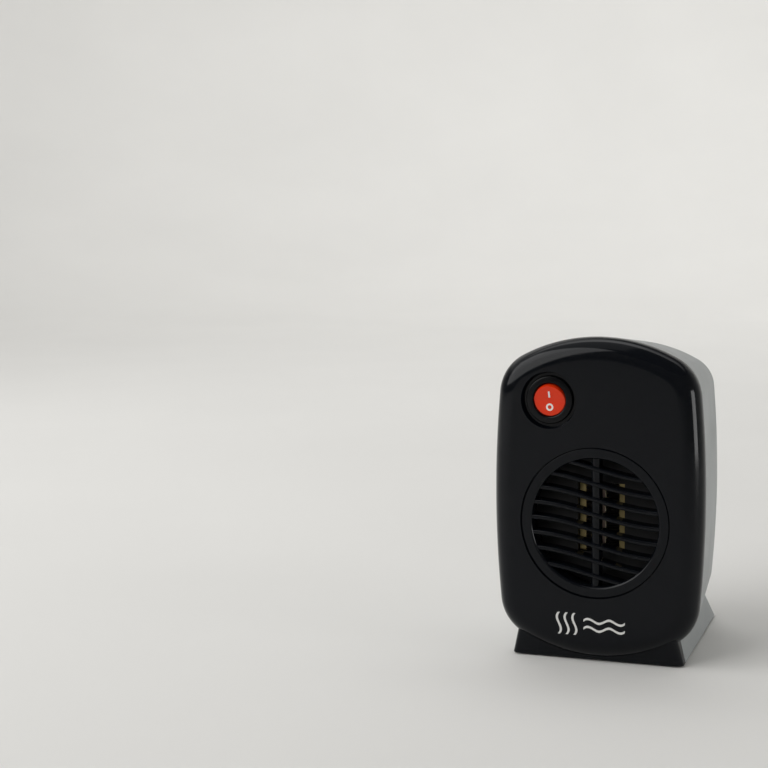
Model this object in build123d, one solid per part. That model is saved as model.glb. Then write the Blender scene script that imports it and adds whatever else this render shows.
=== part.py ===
from build123d import *
import math
import os

# A small desktop ceramic heater: a gloss black front panel and a grey rear housing that meet
# on one parting line, with a switch, a heating element, a fan and its motor between them.
# Millimetres, +Z up, the face looks along -Y. While the pieces are made, y is the depth
# behind the flat of the face. At the end the whole heater is moved so that the origin is
# the bottom centre of its box.

# ---- casing ----
CASE_TOP = 154.0          # top of the casing above the floor
CASE_LOW = 1.0            # lowest point of the casing's own outline
HALF_WIDTH = 50.7         # at mid height
END_ARC = 79.0            # radius of the crown and of the lower edge
SIDE_ARC = 540.0          # radius of the bowed sides
CORNER = 21.4             # radius where sides and crown meet
FACE_ROUND = 10.0         # roll-off around the face
PANEL_DEPTH = 11.4        # face to the parting line
CASE_DEPTH = 82.6         # face to the back of the rear housing
SIDE_TAPER = 6.2          # the sides come in by this much at the back
END_TAPER = 7.9           # the crown comes down by this much at the back
BACK_ROUND = 8.0          # rounding around the back
WALL = 2.2                # moulded wall
SEAM_GAP = 0.2            # clearance of the tongue inside the front panel
TONGUE_THICK = 1.2
TONGUE_REACH = 2.0

# ---- foot ----
FOOT_LIFT = 0.8           # the shells' lower edge above the floor
FOOT_TOP = 24.0           # where the foot's planes have gone into the casing
FOOT_HALF = 41.8          # at the floor
FOOT_HALF_TOP = 36.3
FOOT_FRONT = 4.8          # front plane at the floor, behind the face
FOOT_FRONT_TOP = 2.4
FOOT_REAR = 96.0          # rear edge at the floor
FOOT_REAR_TOP = 77.0
FOOT_CORNER = 3.0
PLATE_LOW = 2.0
PLATE_THICK = 2.2
PLATE_GAP = 0.2
PAD_RADIUS = 5.0
PAD_X = 30.0
PAD_DEPTHS = (18.0, 82.0)
PLATE_SCREW_X = 36.0
PLATE_SCREW_DEPTHS = (26.0, 72.0)
PLATE_BOSS_TOP = 17.0

# ---- screws and bosses ----
SCREW_X = 35.0
SCREW_HEIGHTS = (27.0, 108.0)
POST_RADIUS = 4.5
POST_MEET = 20.0          # depth where front posts and rear posts meet
SCREW_SEAT = 30.0         # depth of the ledge under the long screws' heads
SCREW_SHANK = 1.3
SCREW_HEAD = 2.9
SCREW_HEAD_HIGH = 2.2
SCREW_BITE = 12.0         # thread length in the front posts
HEAD_WELL = 3.2
SMALL_SHANK = 1.2
SMALL_HEAD = 2.6
SMALL_HEAD_HIGH = 1.6
SMALL_BOSS = 3.5
HOLE_GAP = 0.2            # radial clearance of a screw in the piece it holds
CROSS_WIDE = 0.7          # cross recess of a screw head
CROSS_LONG = 3.0
CROSS_DEEP = 1.0

# ---- outlet grille ----
FAN_Z = 67.4              # height of the outlet, heater and fan axis
RING_STEP = 2.7           # the grille's seat in the face is this much wider than the hole
RING_DEEP = 1.2
RING_GAP = 0.25
GRILLE_RECESS = 0.5       # the grille's ring lies this far behind the face
OUTLET_HOLE = 33.2        # hole in the panel
SKIRT_GAP = 0.2
OUTLET_LIP = 2.7          # the ring reaches this far inside the hole
GRILLE_DEEP = 8.0
SLAT_PITCH = 7.3
SLAT_THICK = 2.2
SLAT_SWING = 5.0          # each slat is this much above its middle at the left, below at the right
SLAT_FRONT = 1.3          # depth of the slats' front edges
POST_WIDE = 4.4
SNAP_RIM = 0.6

# ---- printed mark ----
MARK_Z = 18.8
MARK_THICK = 0.1
WAVE_WIDE = 1.1           # width of a printed stroke
UPRIGHT_XS = (-17.0, -13.2, -9.4)
UPRIGHT_LONG = 10.5
LEVEL_X = 5.0
LEVEL_LONG = 20.0
LEVEL_RISE = 1.9
WAVE_SWING = 0.95

# ---- switch ----
SWITCH_X = -22.0
SWITCH_Z = 124.6
ROCKER_BALL = 7.7
WELL_GAP = 0.25           # clearance of the rocker in its well
BARREL_WALL = 1.85
BARREL_GAP = 0.2          # clearance of the barrel in the panel
BARREL_END = 17.0
BEZEL_RIM = 1.6           # the bezel overhangs the barrel by this much
BEZEL_THICK = 2.0
BEZEL_SOFT = 0.9          # rounding of the bezel's rims
WING_LONG = 3.5           # snap wings above and below the barrel
WING_RISE = 1.0
WING_HALF = 3.0
DISH_GAP = 1.2            # floor of the dish seen round the bezel
DISH_DEEP = 3.2
DISH_FLARE = 0.8          # the dish is this much wider at the face
WELL_FLOOR = 14.2
PIVOT_DEPTH = 4.0
ROCKER_MID = 2.2          # depth of the middle of the rocker's face
ROCKER_TILT = 10.0        # each way from level; at rest the lower half is pressed in
ROCKER_BACK = 2.5
TRUNNION = 1.1
TRUNNION_GAP = 0.05
TRUNNION_BITE = 1.05      # how far each trunnion reaches into the well's wall
STEM_RADIUS = 2.4
STEM_END = 6.5
PLUNGER_RADIUS = 1.2
PLUNGER_BORE = 1.35
PLUNGER_TOP = 3.5
PLUNGER_TIP = 8.3
SPRING_WIRE = 0.18
SPRING_RADIUS = 0.95
SPRING_PITCH = 0.8
LEGEND_THICK = 0.1
LEGEND_OFFSET = 3.1       # each sign's middle from the rocker's middle
LEGEND_HIGH = 3.1
LEGEND_STROKE = 0.8
LEGEND_RING = 1.75
SEESAW_DEPTH = 13.0
SEESAW_THICK = 0.5
SEESAW_GAP = 0.3          # between the see-saw and the tip of its fulcrum
SEESAW_LONG = 10.0
SEESAW_WIDE = 3.5
SEESAW_TILT = 6.0         # away from level at rest, opposite to the rocker
BLADE_WIDE = 6.3
BLADE_THICK = 0.8
BLADE_END = 27.0
CONTACT_OFFSET = -4.0
CONTACT_HIGH = 0.25
CONTACT_HALF = 1.0

# ---- heating element ----
STONE_HALF = 1.2
STONE_HIGH = 11.6
STONE_GAP = 0.2
STONE_COUNT = 3
STRIP_THICK = 0.4
FIN_DEEP = 11.0
FIN_FRONT = 17.0
FIN_WIDE = 6.6
FIN_HALF_HIGH = 18.0
FIN_FOLDS = 15
FIN_THICK = 0.3
SIDE_PLATE = 3.0          # bright solid rails beside the fins
STACK_GAP = 0.2
TAB_RISE = 10.0           # the contact strips stand this far above the element
TAB_WIDE = 5.0
TAB_STAGGER = 4.8         # one tab stands this far behind the other
FRAME_FRONT = 8.8
FRAME_PLATE = 14.0
FRAME_PLATE_THICK = 2.0
FRAME_WALL = 1.6
FRAME_END = 30.0
LIP = 1.4                 # ledge that the element's ends rest on
EAR_RADIUS = 4.2
EAR_FRONT = 12.0
BAR_THICK = 0.6
BAR_HIGH = 5.0
BESIDE_TUNNEL = 1.4       # thermostat and fuse stand this far from the frame's tunnel
CUTOUT_Z = 9.0
CAP_RADIUS = 8.0
CAP_THICK = 3.0
CUTOUT_RADIUS = 7.2
CUTOUT_LONG = 7.0
CUTOUT_TAB = (4.8, 4.0, 0.8)   # width, length and thickness
CUTOUT_TAB_RISE = 4.0
FUSE_RADIUS = 1.9
FUSE_LONG = 15.0
FUSE_LEAD = 0.5
LEAD_LONG = 4.0
FUSE_GAP = 0.1
FUSE_CLIP = 0.5
FUSE_CLIP_HALF = 2.0

# ---- fan ----
SHROUD_INNER = 34.5
SHROUD_WALL = 1.5
SHROUD_FRONT = 34.0
SHROUD_BACK = 61.0
EAR_CIRCLE = 40.0
EAR_THICK = 2.0
HUB_PLATE = 56.0
HUB_PLATE_THICK = 2.6
HUB_PLATE_RADIUS = 18.5
ARM_WIDE = 4.0
SHAFT_HOLE = 4.5
BLADES = 5
BLADE_TIP = 32.5
BLADE_MID = 44.5
BLADE_SHEET = 1.3
ROOT_CHORD = 12.0
TIP_CHORD = 22.0
ROOT_PITCH = 40.0
TIP_PITCH = 22.0
HUB_RADIUS = 9.0
HUB_FRONT = 39.5
HUB_BACK = 50.0
CLIP_THICK = 1.4
CLIP_RADIUS = 4.0

# ---- motor ----
SHAFT_RADIUS = 1.5
SHAFT_FRONT = 36.6
SHAFT_BACK = 76.4
BUSH_GAP = 0.05
BUSH_RADIUS = 3.5
CORE_FRONT = 62.0
CORE_DEEP = 10.0
CORE_HALF = 18.0
CORE_RISE = 14.0
BORE_RADIUS = 8.5
ROTOR_GAP = 0.4
ROTOR_END_GAP = 0.8
LEG_INNER = 12.0
BAR_LOW = -33.4           # the coil's core bar, from the shaft's height
BAR_TOP = -25.4
BRACKET_THICK = 3.4
BRACKET_HALF = 17.5
BRACKET_HIGH = 10.0
BOLT_X = 14.5
BOLT_RADIUS = 1.5
BOLT_HEAD = 2.8
BOLT_HEAD_HIGH = 1.8
NUT_HIGH = 2.2
BOBBIN_HALF = 11.0
BOBBIN_WALL = 1.0
COIL_DEEP = 5.0           # flanges stand this far beyond the core
LOOP_WIRE = 1.2
LOOP_Z = 9.5
LOOP_INNER = 4.0
LOOP_OUTER = 12.5

# ---- air intake and cord inlet ----
INTAKE_RADIUS = 29.0
INTAKE_PITCH = 5.2
INTAKE_SLOT = 2.6
INTAKE_BAR = 3.2
CORD_X = 20.0
CORD_Z = 26.0
CORD_BORE = 3.4
BUSH_NECK = 5.4
CORD_FLANGE = 7.4
CORD_FLANGE_THICK = 2.0
CORD_CATCH = 2.6
CORD_CATCH_RISE = 0.8
CORD_NOSE_FALL = 0.6
CORD_SOFT = 0.8

CASE_MID = (CASE_TOP + CASE_LOW) / 2
RING_RADIUS = OUTLET_HOLE + RING_STEP
OUTLET_RADIUS = OUTLET_HOLE - OUTLET_LIP
SLAT_COUNT = int(2 * OUTLET_RADIUS / SLAT_PITCH)
SHROUD_OUTER = SHROUD_INNER + SHROUD_WALL
STACK_HALF = STONE_HALF + STRIP_THICK + FIN_WIDE + SIDE_PLATE
CORE_BACK = CORE_FRONT + CORE_DEEP
TUNNEL_HALF = STACK_HALF + STACK_GAP + FRAME_WALL
CUTOUT_X = TUNNEL_HALF + BESIDE_TUNNEL + CAP_RADIUS
FUSE_X = -(TUNNEL_HALF + BESIDE_TUNNEL + CAP_RADIUS)
FRAME_RADIUS = OUTLET_HOLE + 0.3
EAR_X = RING_RADIUS + SMALL_BOSS + 0.1
WELL_RADIUS = ROCKER_BALL + WELL_GAP
BARREL_RADIUS = WELL_RADIUS + BARREL_WALL
BEZEL_RADIUS = BARREL_RADIUS + BEZEL_RIM
DISH_RADIUS = BEZEL_RADIUS + DISH_GAP
TRUNNION_END = WELL_RADIUS + TRUNNION_BITE
TINY = 0.01


# ---- shared shapes ----

def rod(radius, front, back, x=0.0, z=0.0):
    """A cylinder along Y between two depths."""
    return Pos(x, (front + back) / 2, z) * Rot(90, 0, 0) * Cylinder(radius, back - front)


def tube(outer, inner, front, back, x=0.0, z=0.0):
    """A ring along Y between two depths."""
    return rod(outer, front, back, x, z) - rod(inner, front - 1, back + 1, x, z)


def block(x0, x1, front, back, z0, z1):
    """A box from its corners."""
    middle = Pos((x0 + x1) / 2, (front + back) / 2, (z0 + z1) / 2)
    return middle * Box(x1 - x0, back - front, z1 - z0)


def prism(sketch, front, back):
    """A flat outline in X and Z, drawn out between two depths."""
    return extrude(Plane.XZ.offset(-back) * sketch, amount=back - front)


def outline(side_inset, end_inset):
    """The casing's outline: crown, lower edge and two bowed sides with rounded corners."""
    end_radius = END_ARC - end_inset
    side_radius = SIDE_ARC - side_inset
    side_shift = SIDE_ARC - HALF_WIDTH
    shape = Pos(side_shift, CASE_MID) * Circle(side_radius)
    shape &= Pos(-side_shift, CASE_MID) * Circle(side_radius)
    for sign, centre in ((1, CASE_TOP - END_ARC), (-1, CASE_LOW + END_ARC)):
        straight = Rectangle(2 * end_radius, CASE_TOP)
        dome = Pos(0, centre) * (Circle(end_radius) + Pos(0, -sign * CASE_TOP / 2) * straight)
        shape &= dome
    return fillet(shape.vertices(), CORNER - side_inset)


def mirrored(places):
    """Each (x, z) place on both sides of the middle."""
    return [(sign * x, z) for x, z in places for sign in (-1, 1)]


def cross_recess(depth, x, z, facing=-1):
    """The cross cut in a screw head whose top is at a depth and faces -Y or +Y."""
    low, high = sorted((depth, depth - facing * CROSS_DEEP))
    half_wide, half_long = CROSS_WIDE / 2, CROSS_LONG / 2
    upright = block(x - half_wide, x + half_wide, low, high, z - half_long, z + half_long)
    level = block(x - half_long, x + half_long, low, high, z - half_wide, z + half_wide)
    return upright + level


def small_screw(head_top, length, x, z):
    """A pan-head screw driven from the front towards the back."""
    seat = head_top + SMALL_HEAD_HIGH
    screw = rod(SMALL_HEAD, head_top, seat, x, z) + rod(SMALL_SHANK, seat, seat + length, x, z)
    return screw - cross_recess(head_top, x, z)


# ---- casing ----

def foot_section(height, inset):
    """The foot's plan at a height; its sides are straight planes from the floor up."""
    share = (height - FOOT_LIFT) / (FOOT_TOP - FOOT_LIFT)
    half = FOOT_HALF + (FOOT_HALF_TOP - FOOT_HALF) * share - inset
    front = FOOT_FRONT + (FOOT_FRONT_TOP - FOOT_FRONT) * share + inset
    rear = FOOT_REAR + (FOOT_REAR_TOP - FOOT_REAR) * share - inset
    corner = max(FOOT_CORNER - inset, 0.5)
    plan = RectangleRounded(2 * half, rear - front, corner)
    return Plane.XY.offset(height) * (Pos(0, (front + rear) / 2) * plan)


def foot_block(inset, low):
    return loft([foot_section(low, inset), foot_section(FOOT_TOP, inset)])


def front_block(inset):
    """The front panel's own volume, rolled off around the face."""
    body = prism(outline(inset, inset), inset, PANEL_DEPTH)
    rim = body.faces().sort_by(Axis.Y)[0].edges()
    return fillet(rim, FACE_ROUND - inset)


def rear_block(inset):
    """The rear housing's own volume, tapering to a rounded back."""
    back = CASE_DEPTH - inset
    wide = Plane.XZ.offset(-PANEL_DEPTH) * outline(inset, inset)
    narrow = Plane.XZ.offset(-back) * outline(SIDE_TAPER + inset, END_TAPER + inset)
    body = loft([wide, narrow])
    rim = body.faces().sort_by(Axis.Y)[-1].edges()
    return fillet(rim, BACK_ROUND - inset)


def front_half():
    return block(-200, 200, -50, PANEL_DEPTH, -50, 300)


def rear_half():
    return block(-200, 200, PANEL_DEPTH, 300, -50, 300)


def long_screw_places():
    return mirrored([(SCREW_X, z) for z in SCREW_HEIGHTS])


def shroud_screw_places():
    reach = EAR_CIRCLE * math.sqrt(0.5)
    return mirrored([(reach, FAN_Z - reach), (reach, FAN_Z + reach)])


def front_panel():
    outer = front_block(0) + (foot_block(0, FOOT_LIFT) & front_half())
    panel = outer - front_block(WALL) - (foot_block(WALL, FOOT_LIFT - 1) & front_half())

    # dish and hole for the switch
    dish_wall = rod(DISH_RADIUS + WALL, WALL / 2, DISH_DEEP + WALL, SWITCH_X, SWITCH_Z)
    panel += dish_wall & front_block(0)
    dish = Plane.XZ.offset(-DISH_DEEP) * (Pos(SWITCH_X, SWITCH_Z) * Circle(DISH_RADIUS))
    mouth = Plane.XZ * (Pos(SWITCH_X, SWITCH_Z) * Circle(DISH_RADIUS + DISH_FLARE))
    panel -= loft([dish, mouth])
    panel -= rod(BARREL_RADIUS + BARREL_GAP, 0, DISH_DEEP + 2 * WALL, SWITCH_X, SWITCH_Z)

    # stepped hole for the grille
    seat_wall = tube(RING_RADIUS + WALL, OUTLET_HOLE, WALL / 2, WALL + RING_DEEP, 0, FAN_Z)
    panel += seat_wall
    panel -= rod(RING_RADIUS, -1, RING_DEEP, 0, FAN_Z)
    panel -= rod(OUTLET_HOLE, -1, WALL + RING_DEEP + 1, 0, FAN_Z)

    # posts for the long screws and bosses for the heater frame
    for x, z in long_screw_places():
        panel += rod(POST_RADIUS, WALL / 2, POST_MEET, x, z)
        panel -= rod(SCREW_SHANK, POST_MEET - SCREW_BITE, POST_MEET + 1, x, z)
    for x, z in mirrored([(EAR_X, FAN_Z)]):
        panel += rod(SMALL_BOSS, WALL / 2, EAR_FRONT, x, z)
        panel -= rod(SMALL_SHANK, WALL + 1, EAR_FRONT + 1, x, z)
    return panel


def intake_slots():
    """Level slots in the back wall, inside a circle around the fan axis, with a middle bar."""
    rows = int((INTAKE_RADIUS - INTAKE_SLOT) / INTAKE_PITCH)
    slots = []
    for row in range(-rows, rows + 1):
        rise = row * INTAKE_PITCH
        reach = math.sqrt(INTAKE_RADIUS ** 2 - (abs(rise) + INTAKE_SLOT / 2) ** 2)
        length = reach - INTAKE_BAR / 2
        middle = (reach + INTAKE_BAR / 2) / 2
        slot = SlotOverall(length, INTAKE_SLOT)
        for sign in (-1, 1):
            slots.append(Pos(sign * middle, FAN_Z + rise) * slot)
    return slots


def rear_housing():
    outer = rear_block(0) + (foot_block(0, FOOT_LIFT) & rear_half())
    housing = outer - rear_block(WALL) - (foot_block(WALL, FOOT_LIFT - 1) & rear_half())

    # tongue that enters the front panel all round the casing above the foot
    inset = WALL + SEAM_GAP
    ring = outline(inset, inset) - outline(inset + TONGUE_THICK, inset + TONGUE_THICK)
    tongue = prism(ring, PANEL_DEPTH - TONGUE_REACH, PANEL_DEPTH + TONGUE_REACH)
    root = outline(WALL / 2, WALL / 2) - outline(inset + TONGUE_THICK, inset + TONGUE_THICK)
    tongue += prism(root, PANEL_DEPTH, PANEL_DEPTH + TONGUE_REACH)
    foot_way = foot_block(WALL, FOOT_LIFT - 1)
    foot_way += block(-FOOT_HALF, FOOT_HALF, -1, PANEL_DEPTH, -1, FOOT_TOP)
    housing += tongue - foot_way

    # posts for the long screws, the fan shroud and the base plate
    back_wall = CASE_DEPTH - WALL / 2
    for x, z in long_screw_places():
        housing += rod(POST_RADIUS, POST_MEET, back_wall, x, z) & outer
        housing -= rod(SCREW_SHANK + HOLE_GAP, POST_MEET - 1, SCREW_SEAT + 1, x, z)
        housing -= rod(HEAD_WELL, SCREW_SEAT, CASE_DEPTH + 1, x, z)
    for x, z in shroud_screw_places():
        housing += rod(SMALL_BOSS, SHROUD_BACK, back_wall, x, z)
        housing -= rod(SMALL_SHANK, SHROUD_BACK - 1, SHROUD_BACK + SCREW_BITE, x, z)
    boss_low = PLATE_LOW + PLATE_THICK
    for x, y in mirrored([(PLATE_SCREW_X, y) for y in PLATE_SCREW_DEPTHS]):
        middle = (boss_low + PLATE_BOSS_TOP) / 2
        boss = Pos(x, y, middle) * Cylinder(SMALL_BOSS, PLATE_BOSS_TOP - boss_low)
        pilot = Pos(x, y, boss_low) * Cylinder(SMALL_SHANK, 2 * SCREW_BITE - 2)
        housing += boss & outer
        housing -= pilot

    housing -= prism(Sketch() + intake_slots(), CASE_DEPTH - 2 * WALL, CASE_DEPTH + 1)
    housing -= rod(BUSH_NECK, CASE_DEPTH - 2 * WALL, CASE_DEPTH + 1, CORD_X, CORD_Z)
    return housing


def base_plate():
    top = PLATE_LOW + PLATE_THICK
    inset = WALL + PLATE_GAP
    plate = loft([foot_section(PLATE_LOW, inset), foot_section(top, inset)])
    for x, y in mirrored([(PLATE_SCREW_X, y) for y in PLATE_SCREW_DEPTHS]):
        plate -= Pos(x, y, PLATE_LOW) * Cylinder(SMALL_SHANK + HOLE_GAP, 4 * PLATE_THICK)
    return plate


def rubber_feet():
    pad = Cylinder(PAD_RADIUS, PLATE_LOW)
    pad = chamfer(pad.edges().sort_by(Axis.Z)[0], 0.4)
    places = mirrored([(PAD_X, y) for y in PAD_DEPTHS])
    return Compound([Pos(x, y, PLATE_LOW / 2) * pad for x, y in places])


def plate_screws():
    """Screws driven upwards through the base plate."""
    head_high = SMALL_HEAD_HIGH - 0.6
    screws = []
    for x, y in mirrored([(PLATE_SCREW_X, y) for y in PLATE_SCREW_DEPTHS]):
        head = Pos(x, y, PLATE_LOW - head_high / 2) * Cylinder(SMALL_HEAD, head_high)
        shank = Pos(x, y, PLATE_LOW + SCREW_BITE / 2) * Cylinder(SMALL_SHANK, SCREW_BITE)
        cut = Box(CROSS_LONG, CROSS_WIDE, head_high) + Box(CROSS_WIDE, CROSS_LONG, head_high)
        screws.append(head + shank - Pos(x, y, PLATE_LOW - head_high) * cut)
    return Compound(screws)


def housing_screws():
    """Long screws from the back, deep in the rear posts."""
    screws = []
    for x, z in long_screw_places():
        top = SCREW_SEAT + SCREW_HEAD_HIGH
        screw = rod(SCREW_HEAD, SCREW_SEAT, top, x, z)
        screw += rod(SCREW_SHANK, POST_MEET - SCREW_BITE + 1, SCREW_SEAT, x, z)
        screws.append(screw - cross_recess(top, x, z, facing=1))
    return Compound(screws)


# ---- outlet grille and mark ----

def slat(rise):
    """One slat: level at both ends and steepest where it crosses the middle post."""
    reach = OUTLET_RADIUS + 1
    stations = [reach * (step / 4 - 1) for step in range(9)]

    def edge(offset):
        heights = [-SLAT_SWING * math.sin(math.pi / 2 * x / reach) for x in stations]
        return [(x, FAN_Z + rise + h + offset) for x, h in zip(stations, heights)]

    upper, lower = edge(SLAT_THICK / 2), edge(-SLAT_THICK / 2)
    border = Spline(*upper) + Line(upper[-1], lower[-1])
    border += Spline(*reversed(lower)) + Line(lower[0], upper[0])
    return make_face(border)


def outlet_grille():
    ring_back = RING_DEEP
    skirt = OUTLET_HOLE - SKIRT_GAP
    grille = rod(RING_RADIUS - RING_GAP, GRILLE_RECESS, ring_back, 0, FAN_Z)
    grille += rod(skirt, GRILLE_RECESS, GRILLE_DEEP, 0, FAN_Z)
    catch = WALL + RING_DEEP + SNAP_RIM / 2
    grille += rod(skirt + SNAP_RIM, catch, catch + 1, 0, FAN_Z)
    grille -= rod(OUTLET_RADIUS, -1, GRILLE_DEEP + 1, 0, FAN_Z)
    bore = Pos(0, FAN_Z) * Circle(OUTLET_RADIUS + TINY)
    for row in range(SLAT_COUNT):
        rise = (row - (SLAT_COUNT - 1) / 2) * SLAT_PITCH
        grille += prism(slat(rise) & bore, SLAT_FRONT, GRILLE_DEEP)
    post = (Pos(0, FAN_Z) * Rectangle(POST_WIDE, 2 * OUTLET_RADIUS + 1)) & bore
    grille += prism(post, SLAT_FRONT + 1, GRILLE_DEEP)
    return grille


def wave_stroke(x, z, length, swing, waves, upright):
    """A printed wavy stroke, as a band between two shifted sine lines."""
    steps = 4 * waves
    along = [length * (step / steps - 0.5) for step in range(steps + 1)]
    across = [swing * math.sin(math.pi / 2 * step) for step in range(steps + 1)]
    half = WAVE_WIDE / 2

    def side(offset):
        if upright:
            return [(x + c + offset, z + a) for a, c in zip(along, across)]
        return [(x + a, z + c + offset) for a, c in zip(along, across)]

    one, other = side(half), side(-half)
    border = Spline(*one) + Line(one[-1], other[-1])
    border += Spline(*reversed(other)) + Line(other[0], one[0])
    return make_face(border)


def printed_mark():
    """Three rising warm-air strokes and two level waves beside them."""
    strokes = [wave_stroke(x, MARK_Z, UPRIGHT_LONG, WAVE_SWING, 1, True) for x in UPRIGHT_XS]
    strokes += [wave_stroke(LEVEL_X, MARK_Z + rise, LEVEL_LONG, WAVE_SWING, 2, False)
                for rise in (-LEVEL_RISE, LEVEL_RISE)]
    return Compound([prism(stroke, -MARK_THICK, 0) for stroke in strokes])


# ---- switch ----

def at_switch(shape, turn):
    """Put a piece modelled level about the pivot in place, turned about its X axis."""
    return Pos(SWITCH_X, PIVOT_DEPTH, SWITCH_Z) * Rot(turn, 0, 0) * shape


def rocker_face_slope():
    return math.tan(math.radians(ROCKER_TILT))


def switch_rocker():
    """A red ball segment with a shallow valley in its face, on two trunnions."""
    middle = ROCKER_MID - PIVOT_DEPTH
    end = ROCKER_BALL + 1
    rise = rocker_face_slope() * end
    side = [(middle, 0), (middle - rise, end), (ROCKER_BACK, end),
            (ROCKER_BACK, -end), (middle - rise, -end)]
    face = make_face(Polyline(*side, close=True))
    slab = extrude(Plane.YZ * face, amount=end, both=True)
    rocker = Sphere(ROCKER_BALL) & slab
    rocker += rod(STEM_RADIUS, ROCKER_BACK - 1, STEM_END)
    trunnions = Rot(0, 90, 0) * Cylinder(TRUNNION, 2 * TRUNNION_END)
    rocker += trunnions
    rocker -= rod(PLUNGER_BORE, -1, STEM_END + 1)
    return at_switch(rocker, ROCKER_TILT)


def on_rocker_face(sketch, upper, thick):
    """Lay a flat sign on the upper or lower half of the rocker's face."""
    sign = 1 if upper else -1
    tilt = math.radians(ROCKER_TILT)
    normal = Vector(0, -math.cos(tilt), -sign * math.sin(tilt))
    middle = ROCKER_MID - PIVOT_DEPTH - LEGEND_OFFSET * rocker_face_slope()
    plane = Plane(origin=(0, middle, sign * LEGEND_OFFSET), x_dir=(1, 0, 0), z_dir=normal)
    return extrude(plane * sketch, amount=thick)


def rocker_legends():
    stroke = Rectangle(LEGEND_STROKE, LEGEND_HIGH)
    circle = Circle(LEGEND_RING) - Circle(LEGEND_RING - LEGEND_STROKE)
    signs = [on_rocker_face(stroke, True, LEGEND_THICK),
             on_rocker_face(circle, False, LEGEND_THICK)]
    return Compound([at_switch(sign, ROCKER_TILT) for sign in signs])


def switch_plunger():
    plunger = rod(PLUNGER_RADIUS, PLUNGER_TOP, PLUNGER_TIP - PLUNGER_RADIUS)
    plunger += Pos(0, PLUNGER_TIP - PLUNGER_RADIUS, 0) * Sphere(PLUNGER_RADIUS)
    return at_switch(plunger, ROCKER_TILT)


def switch_spring():
    length = PLUNGER_TOP + 0.6
    line = Helix(SPRING_PITCH, length, SPRING_RADIUS)
    wire = sweep(Plane(line @ 0, z_dir=line % 0) * Circle(SPRING_WIRE), path=line)
    upright = Rot(-90, 0, 0) * wire
    return at_switch(Pos(0, -0.8, 0) * upright, ROCKER_TILT)


def contact_seesaw():
    half = SEESAW_THICK / 2
    plate = block(-SEESAW_WIDE / 2, SEESAW_WIDE / 2, -half, half, -SEESAW_LONG / 2, SEESAW_LONG / 2)
    place = Pos(SWITCH_X, SEESAW_DEPTH, SWITCH_Z)
    return place * Rot(-SEESAW_TILT, 0, 0) * plate


def terminal_blades():
    """Two tab terminals: the fulcrum under the see-saw and the fixed contact below it."""
    blades = []
    fronts = (SEESAW_DEPTH + SEESAW_THICK / 2 + SEESAW_GAP, WELL_FLOOR - CONTACT_HIGH)
    for rise, front in zip((0.0, CONTACT_OFFSET), fronts):
        z = SWITCH_Z + rise
        half = BLADE_THICK / 2
        low, high = SWITCH_X - BLADE_WIDE / 2, SWITCH_X + BLADE_WIDE / 2
        blade = block(low, high, WELL_FLOOR, BLADE_END, z - half, z + half)
        blade += block(SWITCH_X - CONTACT_HALF, SWITCH_X + CONTACT_HALF, front, WELL_FLOOR + 1,
                       z - half, z + half)
        blades.append(blade)
    return blades


def switch_terminals():
    return Compound(terminal_blades())


def switch_body():
    bezel_front = DISH_DEEP - BEZEL_THICK
    bezel = rod(BEZEL_RADIUS, bezel_front, DISH_DEEP, SWITCH_X, SWITCH_Z)
    rim = bezel.faces().sort_by(Axis.Y)[0].edges()
    body = fillet(rim, BEZEL_SOFT)
    body += rod(BARREL_RADIUS, bezel_front + 1, BARREL_END, SWITCH_X, SWITCH_Z)
    body -= rod(WELL_RADIUS, -1, WELL_FLOOR, SWITCH_X, SWITCH_Z)
    pivot = Pos(SWITCH_X, PIVOT_DEPTH, SWITCH_Z) * Rot(0, 90, 0)
    body -= pivot * Cylinder(TRUNNION + TRUNNION_GAP, 2 * (TRUNNION_END + BARREL_GAP))
    catch = DISH_DEEP + WALL + 0.1
    for sign in (-1, 1):
        wing = tube(BARREL_RADIUS + WING_RISE, BARREL_RADIUS - 0.5, catch, catch + WING_LONG,
                    SWITCH_X, SWITCH_Z)
        centre = SWITCH_Z + sign * BARREL_RADIUS
        body += wing & block(SWITCH_X - WING_HALF, SWITCH_X + WING_HALF, 0, BARREL_END,
                             centre - WING_HALF, centre + WING_HALF)
    for blade in terminal_blades():
        body -= blade
    return body


# ---- heating element ----

def heater_frame():
    """Dark heat-proof holder: a skirt behind the grille, a plate and a tunnel round the element."""
    half = STACK_HALF + STACK_GAP
    high = FIN_HALF_HIGH + STACK_GAP
    wall = FRAME_WALL
    plate_back = FRAME_PLATE + FRAME_PLATE_THICK
    frame = tube(FRAME_RADIUS, FRAME_RADIUS - wall, FRAME_FRONT, plate_back, 0, FAN_Z)
    frame += rod(FRAME_RADIUS - TINY, FRAME_PLATE, plate_back, 0, FAN_Z)
    frame += block(-half - wall, half + wall, FRAME_PLATE, FRAME_END,
                   FAN_Z - high - wall, FAN_Z + high + wall)
    frame -= block(-half, half, FIN_FRONT - TINY, FRAME_END + 1, FAN_Z - high, FAN_Z + high)
    frame -= block(-half, half, 0, FIN_FRONT + 1, FAN_Z - high + LIP, FAN_Z + high - LIP)
    for x, z in mirrored([(EAR_X, FAN_Z)]):
        inner = math.copysign(FRAME_RADIUS - wall, x)
        low, high_side = sorted((inner, x))
        ear = rod(EAR_RADIUS, EAR_FRONT, plate_back, x, z)
        ear += block(low, high_side, EAR_FRONT, plate_back, z - EAR_RADIUS, z + EAR_RADIUS)
        frame += ear - rod(FRAME_RADIUS - wall / 2, 0, FRAME_END, 0, FAN_Z)
        frame -= rod(SMALL_SHANK + HOLE_GAP, EAR_FRONT - 1, plate_back + 1, x, z)
    for strip in contact_strips(0.2):
        frame -= strip
    return frame


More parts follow.
